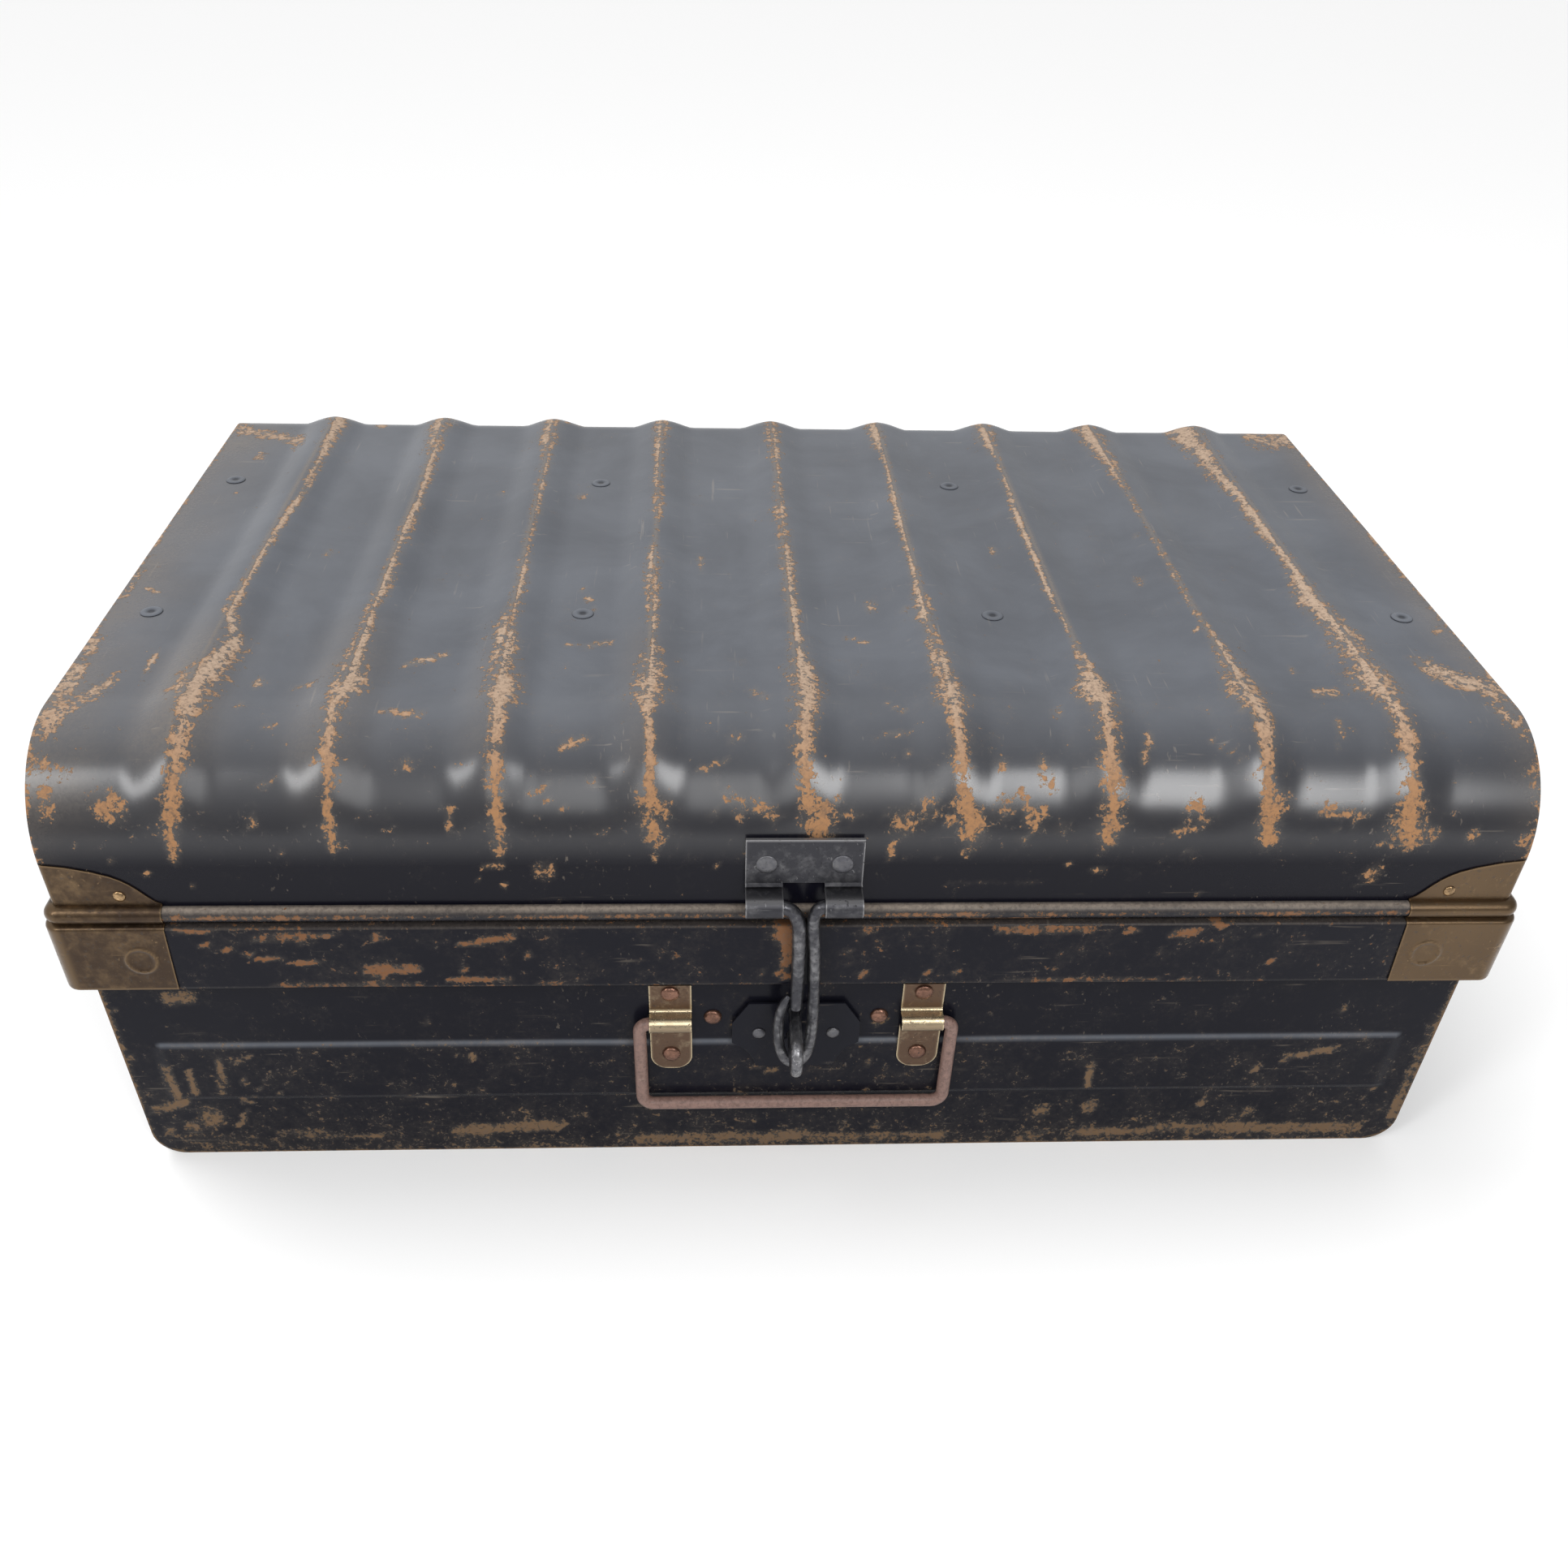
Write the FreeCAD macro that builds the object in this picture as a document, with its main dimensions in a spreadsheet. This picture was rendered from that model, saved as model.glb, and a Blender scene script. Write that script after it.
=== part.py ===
"""Metal trunk: a sheet steel box with a ribbed lid, brass corners, a rod hasp and a bail handle.

Millimetres. X runs along the length, the front faces -Y, Z is up.
The origin is the centre of the flat underside.
"""

import FreeCAD, Part
import math
import os
from types import SimpleNamespace
from FreeCAD import Placement, Rotation, Vector

# Driving dimensions
SIZES = {
    # Heights of the shell, from the floor up: the body below the lid, the lid's skirt, the lid above it
    "body_height": 115.0,
    "skirt_height": 33.5,
    "lid_height": 76.0,
    # Lid shell
    "lid_length": 610.0,
    "lid_depth": 368.0,
    "sheet": 0.8,
    "front_bend": 47.0,
    "rear_bend": 18.0,
    # Pressed ribs of the lid
    "rib_count": 9,
    "rib_end_margin": 55.0,
    "rib_width": 30.0,
    "rib_height": 4.5,
    "rib_sink": 7.0,
    # Bead on the rim of the lid
    "bead_radius": 3.6,
    "bead_gap": 0.9,
    # Body
    "body_inset": 3.2,
    "body_corner": 14.0,
    "rim_wire_radius": 2.6,
    "rim_side_gap": 2.5,
    "band_drop": 42.5,
    "band_height": 34.0,
    "band_proud": 1.2,
    "band_slope": 1.6,
    "band_margin": 16.0,
    # Bars inside the lid and their ring rivets
    "stiffener_width": 22.0,
    "stiffener_thickness": 1.6,
    "stiffener_front_inset": 125.0,
    "stiffener_rear_inset": 96.0,
    "ring_rivet_inset": 19.0,
    "ring_head_radius": 5.0,
    "ring_head_height": 0.5,
    # Brass corner caps
    "cap_sheet": 0.6,
    "cap_leaf": 44.0,
    "cap_rise": 21.4,
    "cap_shoulder_run": 15.0,
    "cap_shoulder_fall": 6.5,
    "cap_rivet_inset": 16.0,
    "cap_rivet_rise": 5.4,
    "cap_boss_inset": 12.5,
    "cap_boss_radius": 6.5,
    "cap_boss_proud": 0.4,
    "cap_head_radius": 3.0,
    "cap_head_height": 1.2,
    # Hasp plate and rod on the lid
    "lock_offset": 2.0,
    "hasp_plate_width": 48.5,
    "hasp_plate_height": 28.9,
    "hasp_plate_thickness": 1.5,
    "hasp_notch_margin": 0.45,
    "hasp_axis_rise": 8.6,
    "hasp_rivet_inset": 8.75,
    "hasp_rivet_rise": 16.4,
    "hasp_head_radius": 4.5,
    "hasp_head_height": 1.0,
    "hasp_rod_radius": 3.1,
    "hasp_skirt_gap": 0.5,
    "hasp_right_leg": 5.0,
    "hasp_right_bend_inside": 0.3,
    "hasp_left_bend_inside": 3.9,
    "hasp_weld_overlap": 0.3,
    "hasp_eye_side_gap": 0.3,
    "hasp_eye_slack": 2.8,
    "hasp_leg_end_slack": 7.2,
    "hasp_lap": 3.0,
    "hasp_tip_length": 6.0,
    "hasp_tip_radius": 1.2,
    "hasp_stub_setback": 0.5,
    # Staple on the body, with its plates in front of and behind the panel
    "staple_drop": 21.0,
    "staple_spread": 14.8,
    "staple_rod_radius": 2.8,
    "staple_bend_inside": 3.2,
    "staple_nose": 32.2,
    "staple_tail": 1.5,
    "staple_plate_drop": 17.0,
    "staple_plate_height": 39.5,
    "staple_plate_width": 58.0,
    "staple_plate_thickness": 1.5,
    "staple_rivet_inset": 12.2,
    "staple_rivet_drop": 35.0,
    "staple_head_radius": 3.0,
    "staple_head_height": 1.4,
    "backing_width": 88.0,
    "backing_height": 26.7,
    "backing_thickness": 1.5,
    "backing_rivet_inset": 6.4,
    "backing_rivet_drop": 27.0,
    "backing_head_radius": 3.6,
    "backing_head_height": 2.2,
    # Bail handle and its clips
    "handle_axis_drop": 27.0,
    "handle_fall": 51.5,
    "handle_rod_radius": 3.1,
    "handle_top_bend_inside": 1.2,
    "handle_low_bend_inside": 2.4,
    "handle_stub_inset": 3.0,
    "clip_spacing": 113.0,
    "clip_width": 18.8,
    "clip_sheet": 0.9,
    "clip_rise": 19.7,
    "clip_fall": 30.7,
    "clip_corner": 8.0,
    "clip_rivet_rise": 15.0,
    "clip_rivet_fall": 21.2,
    "clip_head_radius": 3.6,
    "clip_head_height": 2.0,
    # Hinges behind
    "hinge_inset": 125.0,
    "hinge_width": 50.0,
    "hinge_sheet": 1.2,
    "hinge_pin_radius": 2.0,
    "hinge_pin_head": 1.0,
    "hinge_pin_head_radius": 3.0,
    "hinge_knuckle": 20.0,
    "hinge_end_gap": 0.4,
    "hinge_drop": 0.5,
    "hinge_leaf_height": 28.0,
    "hinge_rivet_side_inset": 10.0,
    "hinge_rivet_inset": 9.0,
    "hinge_head_radius": 3.6,
    "hinge_head_height": 1.6,
    # Shared by all rivets, fits and cuts
    "shank_radius": 1.8,
    "tail_height": 0.8,
    "running_gap": 0.05,
    "wire_gap": 0.1,
    "bend_gap": 0.2,
    "seat_gap": 0.3,
    "overrun": 5.0,
}

# Places worked out in the sheet from the driving dimensions
PLACES = {
    "skirt_bottom": "body_height",
    "skirt_top": "skirt_bottom + skirt_height",
    "ledge_under": "skirt_top - sheet",
    "wall_top": "ledge_under - seat_gap",
    "lid_top": "skirt_top + lid_height",
    "bead_centre": "skirt_top + bead_gap + bead_radius",
    "bead_top": "bead_centre + bead_radius",
    "half_length": "lid_length / 2",
    "half_depth": "lid_depth / 2",
    "body_half_length": "half_length - body_inset",
    "body_half_depth": "half_depth - body_inset",
    "skirt_reach": "2 * rim_wire_radius + wire_gap - body_inset + rim_side_gap + sheet",
    "rib_pitch": "(lid_length - 2 * rib_end_margin) / (rib_count - 1)",
    "band_top": "skirt_bottom - band_drop",
    "band_bottom": "band_top - band_height",
    "stiffener_front_at": "stiffener_front_inset - half_depth",
    "stiffener_rear_at": "half_depth - stiffener_rear_inset",
    "cap_top": "bead_top + cap_rise",
    "cap_shoulder_at": "cap_leaf - cap_shoulder_run",
    "cap_shoulder_height": "cap_top - cap_shoulder_fall",
    "cap_rivet_at": "cap_leaf - cap_rivet_inset",
    "cap_rivet_height": "bead_top + cap_rivet_rise",
    "cap_boss_at": "cap_leaf - cap_boss_inset",
    "cap_boss_height": "skirt_bottom + skirt_height / 2",
    "hasp_axis_height": "bead_centre + hasp_axis_rise",
    "hasp_axis_y": "-half_depth - skirt_reach - hasp_skirt_gap - hasp_rod_radius",
    "hasp_knuckle_radius": "hasp_rod_radius + running_gap + hasp_plate_thickness",
    "hasp_curl_under": "hasp_axis_height + hasp_rod_radius + running_gap",
    "hasp_plate_left": "lock_offset - hasp_plate_width / 2",
    "hasp_left_side": "hasp_right_leg - 2 * (staple_rod_radius + hasp_eye_side_gap + hasp_rod_radius)",
    "hasp_left_leg": "hasp_left_side + 2 * hasp_rod_radius - hasp_weld_overlap",
    "hasp_right_bend": "hasp_right_bend_inside + hasp_rod_radius",
    "hasp_left_bend": "hasp_left_bend_inside + hasp_rod_radius",
    "hasp_notch_left": "lock_offset + hasp_left_leg - hasp_left_bend - bend_gap",
    "hasp_notch_right": "lock_offset + hasp_right_leg + hasp_right_bend + bend_gap",
    "staple_x": "lock_offset + (hasp_left_side + hasp_right_leg) / 2",
    "staple_high_leg": "skirt_bottom - staple_drop",
    "staple_low_leg": "staple_high_leg - staple_spread",
    "hasp_eye_bottom": "staple_low_leg - staple_rod_radius - hasp_eye_slack - hasp_rod_radius",
    "hasp_left_leg_end": "staple_high_leg + staple_rod_radius + hasp_leg_end_slack",
    "hasp_tip_root": "hasp_left_leg_end + hasp_lap",
    "staple_plate_top": "skirt_bottom - staple_plate_drop",
    "staple_plate_bottom": "staple_plate_top - staple_plate_height",
    "staple_plate_out": "band_proud + staple_plate_thickness",
    "backing_bottom": "band_top + band_slope + seat_gap",
    "handle_axis_height": "skirt_bottom - handle_axis_drop",
    "handle_axis_y": "-body_half_depth - band_proud - seat_gap - handle_rod_radius",
    "handle_top_bend": "handle_top_bend_inside + handle_rod_radius",
    "handle_low_bend": "handle_low_bend_inside + handle_rod_radius",
    "handle_half": "(clip_spacing + clip_width) / 2 + handle_top_bend + bend_gap",
    "handle_stub_end": "(clip_spacing - clip_width) / 2 + handle_stub_inset",
    "hinge_at": "half_length - hinge_inset",
    "hinge_knuckle_radius": "hinge_pin_radius + running_gap + hinge_sheet",
    "skirt_back": "half_depth + skirt_reach",
    "hinge_axis_y": "skirt_back + hinge_knuckle_radius",
    "hinge_axis_z": "skirt_bottom - hinge_drop - hinge_knuckle_radius",
    "hinge_body_foot": "hinge_axis_z - hinge_leaf_height",
}

# Shares of the sizes that they follow
TAIL_RADIUS_SHARE = 0.8
INNER_RING_PITCH_SHARE = 1.5
EYE_ROUND_SHARE = 0.98
PLATE_TOP_SHARE = 0.74
PLATE_BASE_SHARE = 0.62
PLATE_SHOULDER_SHARE = 0.70
PLATE_WAIST_SHARE = 0.38
PLATE_HOLLOW_SHARES = (0.74, 0.22)
CAP_BROW_SHARE = 0.35
CAP_SHOULDER_SHARES = (0.72, 0.66)

doc = FreeCAD.newDocument("metal_trunk")
sheet = doc.addObject("Spreadsheet::Sheet", "Sizes")
cells = {alias: str(value) for alias, value in SIZES.items()}
cells.update({alias: f"={formula}" for alias, formula in PLACES.items()})
for row, (alias, content) in enumerate(cells.items(), start=1):
    sheet.set(f"A{row}", alias)
    sheet.set(f"B{row}", content)
    sheet.setAlias(f"B{row}", alias)
doc.recompute()
d = SimpleNamespace(**{alias: float(sheet.get(alias)) for alias in cells})

FORWARD = Vector(0, -1, 0)
BACKWARD = Vector(0, 1, 0)
LEFT = Vector(-1, 0, 0)
RIGHT = Vector(1, 0, 0)
UP = Vector(0, 0, 1)
ALONG_X = Rotation(Vector(0, 1, 0), 90)
node_objects = []


def node(label, item):
    """Name a finished sub-part, so that it is checked and written."""
    item.Label = label
    node_objects.append(item)
    return item


def feature(label, shape):
    """An object that holds a shape made with Part's own functions."""
    item = doc.addObject("Part::Feature", label)
    item.Shape = shape
    return item


def bound(kind, label, **expressions):
    """A document object whose properties follow cells of the sheet."""
    item = doc.addObject(kind, label)
    bind(item, **expressions)
    return item


def bind(item, **expressions):
    """Tie properties to cells; x, y and z stand for the placement."""
    for name, expression in expressions.items():
        target = f"Placement.Base.{name}" if name in ("x", "y", "z") else name
        item.setExpression(target, expression)


def cut(label, base, *tools):
    """The base with every tool taken out of it."""
    for number, tool in enumerate(tools, start=1):
        item = doc.addObject("Part::Cut", f"{label}_cut{number}")
        item.Base = base
        item.Tool = tool
        item.Refine = False
        base = item
    return base


def fuse(label, *pieces):
    """Several objects joined into one."""
    item = doc.addObject("Part::MultiFuse", label)
    item.Shapes = list(pieces)
    item.Refine = True
    return item


def edges_through(start, *steps):
    """Lines and arcs from a start point; a step is a point, or a pair (through, end) for an arc."""
    curves = []
    here = start
    for step in steps:
        if isinstance(step, tuple):
            through, end = step
            curves.append(Part.Arc(here, through, end))
        else:
            end = step
            curves.append(Part.LineSegment(here, end))
        here = end
    return curves


def face(start, *steps):
    """A flat face inside a closed outline."""
    curves = edges_through(start, *steps, start)
    return Part.Face(Part.Wire([curve.toShape() for curve in curves]))


def quarter(centre, radius, first, second):
    """Middle and end of a quarter arc that leaves along one direction and arrives along another."""
    middle = centre + (first + second) * (radius * math.cos(math.pi / 4))
    return middle, centre + second * radius


def bent_wire(points, radii):
    """Straight runs joined by tangent arcs, one radius for each inner point."""
    edges = []
    here = points[0]
    for before, corner, after, radius in zip(points, points[1:], points[2:], radii):
        arrive = (before - corner).normalize()
        leave = (after - corner).normalize()
        half_turn = (math.pi - arrive.getAngle(leave)) / 2
        setback = radius * math.tan(half_turn)
        bisector = (arrive + leave).normalize()
        begin = corner + arrive * setback
        end = corner + leave * setback
        middle = corner + bisector * (radius / math.cos(half_turn) - radius)
        edges.append(Part.LineSegment(here, begin).toShape())
        edges.append(Part.Arc(begin, middle, end).toShape())
        here = end
    edges.append(Part.LineSegment(here, points[-1]).toShape())
    return Part.Wire(edges)


def rod(label, wire, radius_cell):
    """A round rod swept along a wire."""
    path = feature(f"{label}_path", wire)
    first = wire.OrderedEdges[0]
    start = wire.OrderedVertexes[0].Point
    tangent = first.tangentAt(first.FirstParameter)
    section = bound("Part::Circle", f"{label}_section", Radius=f"Sizes.{radius_cell}")
    section.Placement = Placement(start, Rotation(UP, tangent))
    item = doc.addObject("Part::Sweep", f"{label}_rod")
    item.Sections = [section]
    item.Spine = (path, [])
    item.Solid = True
    return item


def padded(label, plane, outline, length):
    """A PartDesign body: one closed sketch padded by an expression."""
    body = doc.addObject("PartDesign::Body", label)
    support = next(item for item in body.Origin.OriginFeatures if item.Role == plane)
    sketch = body.newObject("Sketcher::SketchObject", f"{label}_outline")
    sketch.AttachmentSupport = [(support, "")]
    sketch.MapMode = "FlatFace"
    sketch.addGeometry(outline, False)
    pad = body.newObject("PartDesign::Pad", f"{label}_pad")
    pad.Profile = sketch
    pad.setExpression("Length", length)
    return body


def rivet(place, outward, head_radius, head_height, grip):
    """A domed rivet: head on the outside, shank through the grip, flat tail inside."""
    dome_radius = (head_radius ** 2 + head_height ** 2) / (2 * head_height)
    dome_centre = head_height - dome_radius
    half_angle = math.asin(head_radius / dome_radius) / 2
    crown = Vector(dome_radius * math.sin(half_angle), 0, dome_centre + dome_radius * math.cos(half_angle))
    tail_radius = head_radius * TAIL_RADIUS_SHARE
    section = face(
        Vector(0, 0, head_height),
        (crown, Vector(head_radius, 0, 0)),
        Vector(d.shank_radius, 0, 0),
        Vector(d.shank_radius, 0, -grip),
        Vector(tail_radius, 0, -grip),
        Vector(tail_radius, 0, -grip - d.tail_height),
        Vector(0, 0, -grip - d.tail_height),
    )
    solid = section.revolve(Vector(0, 0, 0), UP, 360)
    solid.Placement = Placement(place, Rotation(UP, outward))
    return solid


def rivets(label, solids):
    """A group of like rivets in one node."""
    return node(label, feature(label, Part.makeCompound(solids)))


# Rivets come first, because the sheets take their holes from them
def ring_rivet_group():
    """Low ring rivets on the lid's top, over the two bars inside."""
    grip = d.sheet + d.stiffener_thickness
    solids = []
    for at in (d.stiffener_front_at, d.stiffener_rear_at):
        for out in (d.half_length - d.ring_rivet_inset, d.rib_pitch * INNER_RING_PITCH_SHARE):
            for side in (-1, 1):
                place = Vector(side * out, at, d.lid_top)
                solids.append(rivet(place, UP, d.ring_head_radius, d.ring_head_height, grip))
    return rivets("lid_stiffener_rivets", solids)


def cap_rivet_group():
    """One rivet in each leaf of each corner cap."""
    grip = d.cap_sheet + d.sheet
    along_x = d.half_length - d.cap_rivet_at
    along_y = d.half_depth - d.cap_rivet_at
    out_x = d.half_length + d.cap_sheet
    out_y = d.half_depth + d.cap_sheet
    solids = []
    for sign in (-1, 1):
        for x, y, outward in ((sign * along_x, -out_y, FORWARD), (sign * along_x, out_y, BACKWARD),
                              (-out_x, sign * along_y, LEFT), (out_x, sign * along_y, RIGHT)):
            place = Vector(x, y, d.cap_rivet_height)
            solids.append(rivet(place, outward, d.cap_head_radius, d.cap_head_height, grip))
    return rivets("corner_cap_rivets", solids)


def pair_on_front(label, out, height, face_y, head_radius, head_height, grip):
    """Two rivets side by side about the lock's centre, heads to the front."""
    places = [Vector(d.lock_offset + side * out, face_y, height) for side in (-1, 1)]
    return rivets(label, [rivet(place, FORWARD, head_radius, head_height, grip) for place in places])


def clip_rivet_group():
    """One rivet above and one below the swage of each handle clip."""
    grip = d.clip_sheet + d.sheet
    high = d.handle_axis_height + d.clip_rivet_rise
    low = d.handle_axis_height - d.clip_rivet_fall
    solids = []
    for side in (-1, 1):
        x = d.lock_offset + side * d.clip_spacing / 2
        for height, proud in ((high, 0), (low, d.band_proud)):
            place = Vector(x, -d.body_half_depth - proud - d.clip_sheet, height)
            solids.append(rivet(place, FORWARD, d.clip_head_radius, d.clip_head_height, grip))
    return rivets("handle_clip_rivets", solids)


def hinge_rivet_group(label, face_y, height):
    """Two rivets in each hinge leaf, heads to the back."""
    grip = d.hinge_sheet + d.sheet
    solids = []
    for side in (-1, 1):
        for step in (-1, 1):
            x = side * d.hinge_at + step * (d.hinge_width / 2 - d.hinge_rivet_side_inset)
            place = Vector(x, face_y + d.hinge_sheet, height)
            solids.append(rivet(place, BACKWARD, d.hinge_head_radius, d.hinge_head_height, grip))
    return rivets(label, solids)


ring_rivets = ring_rivet_group()
cap_rivets = cap_rivet_group()
hasp_plate_rivets = pair_on_front(
    "hasp_plate_rivets", d.hasp_plate_width / 2 - d.hasp_rivet_inset, d.hasp_axis_height + d.hasp_rivet_rise,
    -d.half_depth - d.hasp_plate_thickness, d.hasp_head_radius, d.hasp_head_height,
    d.hasp_plate_thickness + d.sheet)
staple_plate_rivets = pair_on_front(
    "staple_plate_rivets", d.staple_plate_width / 2 - d.staple_rivet_inset,
    d.skirt_bottom - d.staple_rivet_drop,
    -d.body_half_depth - d.staple_plate_out, d.staple_head_radius, d.staple_head_height,
    d.staple_plate_out + d.sheet + d.backing_thickness)
backing_rivets = pair_on_front(
    "backing_plate_rivets", d.backing_width / 2 - d.backing_rivet_inset,
    d.skirt_bottom - d.backing_rivet_drop,
    -d.body_half_depth, d.backing_head_radius, d.backing_head_height,
    d.sheet + d.backing_thickness)
clip_rivets = clip_rivet_group()
hinge_lid_rivets = hinge_rivet_group(
    "hinge_lid_rivets", d.skirt_back, d.skirt_bottom + d.hinge_leaf_height - d.hinge_rivet_inset)
hinge_body_rivets = hinge_rivet_group(
    "hinge_body_rivets", d.body_half_depth, d.hinge_body_foot + d.hinge_rivet_inset)


# Lid shell
def lid_outline(inset):
    """Steps round the lid seen from its end, inset from the outside of the sheet."""
    front = -d.half_depth + inset
    back = d.half_depth - inset
    top = d.lid_top - inset
    front_centre = Vector(0, -d.half_depth + d.front_bend, d.lid_top - d.front_bend)
    rear_centre = Vector(0, d.half_depth - d.rear_bend, d.lid_top - d.rear_bend)
    return (
        Vector(0, front, d.ledge_under),
        Vector(0, front, front_centre.z),
        quarter(front_centre, d.front_bend - inset, FORWARD, UP),
        Vector(0, rear_centre.y, top),
        quarter(rear_centre, d.rear_bend - inset, UP, BACKWARD),
        Vector(0, back, d.ledge_under),
    )


def lid_block(inset, overrun):
    """The lid as a full block, longer than the lid by an overrun at each end and below."""
    start, *steps = lid_outline(inset)
    drop = Vector(0, 0, -overrun)
    block = face(start + drop, start, *steps, steps[-1] + drop) if overrun else face(start, *steps)
    block.translate(Vector(-d.half_length - overrun, 0, 0))
    return block.extrude(Vector(d.lid_length + 2 * overrun, 0, 0))


def rib_solid(inset):
    """One rib over the lid's top, bent tighter than the sheet so that it runs out in both bends."""
    crest_radius = (d.rib_width ** 2 / 4 + d.rib_height ** 2) / (2 * d.rib_height)
    radius = crest_radius - inset
    centre_depth = crest_radius - d.rib_height - inset
    half_chord = math.sqrt(radius ** 2 - centre_depth ** 2)
    front_centre = Vector(0, -d.half_depth + d.front_bend, d.lid_top - d.front_bend + d.rib_sink)
    rear_centre = Vector(0, d.half_depth - d.rear_bend, d.lid_top - d.rear_bend + d.rib_sink)
    front_radius = d.front_bend - d.rib_sink - inset
    rear_radius = d.rear_bend - d.rib_sink - inset
    foot = rear_centre + BACKWARD * rear_radius
    spine = Part.Wire([curve.toShape() for curve in edges_through(
        foot, quarter(rear_centre, rear_radius, BACKWARD, UP), front_centre + UP * front_radius,
        quarter(front_centre, front_radius, UP, FORWARD))])
    right_foot = foot + RIGHT * half_chord
    left_foot = foot + LEFT * half_chord
    root = FORWARD * (rear_radius / 2)
    crest = foot + BACKWARD * (radius - centre_depth)
    section = Part.Wire([curve.toShape() for curve in edges_through(
        right_foot + root, right_foot, (crest, left_foot), left_foot + root, right_foot + root)])
    return spine.makePipeShell([section], True, False)


def ribbed_block(inset, overrun):
    """The lid block with all its ribs on it."""
    rib = rib_solid(inset)
    first = -d.rib_pitch * (d.rib_count - 1) / 2
    ribs = [rib.translated(Vector(first + d.rib_pitch * number, 0, 0)) for number in range(int(d.rib_count))]
    return lid_block(inset, overrun).fuse(ribs)


lid_shell = feature("lid_shell", ribbed_block(0, 0).cut(ribbed_block(d.sheet, d.overrun)))
node("lid_wrap", cut("lid_wrap", lid_shell, ring_rivets, cap_rivets, hasp_plate_rivets))


def turned_yz(step):
    """A step of an outline in the YZ plane, written in the plane's own axes."""
    if isinstance(step, tuple):
        return tuple(turned_yz(point) for point in step)
    return Vector(step.y, step.z, 0)


def lid_end(label, x):
    """A flat end sheet that fits inside the wrap."""
    start, *steps = [turned_yz(step) for step in lid_outline(d.sheet)]
    flat = padded(f"{label}_flat", "YZ_Plane", edges_through(start, *steps, start), "Sizes.sheet")
    bind(flat, x=x)
    return node(label, cut(label, flat, cap_rivets))


lid_end("lid_left_end", "-Sizes.half_length")
lid_end("lid_right_end", "Sizes.half_length - Sizes.sheet")


# Rim of the lid
def across(out, height):
    """A point of a section across the front wall, measured outwards from it."""
    return Vector(0, -out, height)


def oblong(out, low, high, back=0):
    """An upright oblong of a section across the front wall."""
    return face(across(back, low), across(out, low), across(out, high), across(back, high))


def bead_half(radius):
    """The half round of the bead, or of a sheet laid over it, joined back to the wall."""
    top = d.bead_centre + radius
    foot = d.bead_centre - radius
    return face(
        across(0, top),
        across(d.sheet, top),
        (across(d.sheet + radius, d.bead_centre), across(d.sheet, foot)),
        across(0, foot),
    )


def strip_of(sections, start, length):
    """Sections across the wall drawn out along X and joined."""
    solids = [section.translated(Vector(start, 0, 0)).extrude(Vector(length, 0, 0)) for section in sections]
    return solids[0].fuse(solids[1:]).removeSplitter()


def mitre_block(left, right, reach):
    """A tall prism whose ends slant outwards at 45 degrees from the wall at the given places."""
    plan = face(
        Vector(left - reach, -reach, 0),
        Vector(right + reach, -reach, 0),
        Vector(right - d.overrun, d.overrun, 0),
        Vector(left + d.overrun, d.overrun, 0),
    )
    return plan.extrude(Vector(0, 0, d.lid_top))


def rim_strip(length):
    """One straight strip of the rim along X, its wall plane at y = 0, mitred at both ends."""
    reach = d.skirt_reach + d.overrun
    sections = [
        oblong(d.sheet, d.ledge_under, d.bead_top),
        bead_half(d.bead_radius),
        oblong(d.skirt_reach, d.ledge_under, d.skirt_top),
        oblong(d.skirt_reach, d.skirt_bottom, d.skirt_top, d.skirt_reach - d.sheet),
    ]
    strip = strip_of(sections, -length / 2 - reach, length + 2 * reach)
    return strip.common(mitre_block(-length / 2, length / 2, reach))


for side, angle, length, place in (
        ("front", 0, d.lid_length, Vector(0, -d.half_depth, 0)),
        ("right", 90, d.lid_depth, Vector(d.half_length, 0, 0)),
        ("back", 180, d.lid_length, Vector(0, d.half_depth, 0)),
        ("left", -90, d.lid_depth, Vector(-d.half_length, 0, 0))):
    strip = feature(f"rim_strip_{side}", rim_strip(length))
    strip.Placement = Placement(place, Rotation(UP, angle))
    node(f"lid_rim_{side}", cut(f"lid_rim_{side}", strip, hinge_lid_rivets) if side == "back" else strip)


# Brass corner caps
def cap_strip(start, length):
    """The cap's sheet lying over the lid wall, bead, ledge and skirt."""
    thick = d.cap_sheet
    low = d.skirt_bottom - d.overrun
    outside = strip_of([
        oblong(thick, d.skirt_bottom, d.cap_top),
        bead_half(d.bead_radius + thick),
        oblong(d.sheet + thick, d.skirt_top, d.bead_centre),
        oblong(d.skirt_reach + thick, d.skirt_bottom, d.skirt_top + thick),
    ], start, length)
    inside = strip_of([
        oblong(d.sheet, low, d.bead_top, -d.overrun),
        bead_half(d.bead_radius),
        oblong(d.skirt_reach, low, d.skirt_top, -d.overrun),
    ], start - d.overrun, length + 2 * d.overrun)
    return outside.cut(inside)


def cap_leaf_outline():
    """The leaf seen from the front: straight inner edge, then a brow that sweeps up to the corner."""
    margin = d.skirt_reach + d.overrun
    low = d.skirt_bottom - d.overrun
    fall = d.cap_shoulder_height - d.bead_top
    round_share, rise_share = CAP_SHOULDER_SHARES
    shoulder_mid = Vector(d.cap_shoulder_at + d.cap_shoulder_run * round_share, 0,
                          d.bead_top + fall * rise_share)
    brow_mid = Vector(d.cap_shoulder_at / 2, 0, d.cap_shoulder_height + d.cap_shoulder_fall * CAP_BROW_SHARE)
    return face(
        Vector(-margin, 0, low),
        Vector(d.cap_leaf, 0, low),
        Vector(d.cap_leaf, 0, d.bead_top),
        (shoulder_mid, Vector(d.cap_shoulder_at, 0, d.cap_shoulder_height)),
        (brow_mid, Vector(0, 0, d.cap_top)),
        Vector(-margin, 0, d.cap_top),
    )


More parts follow.
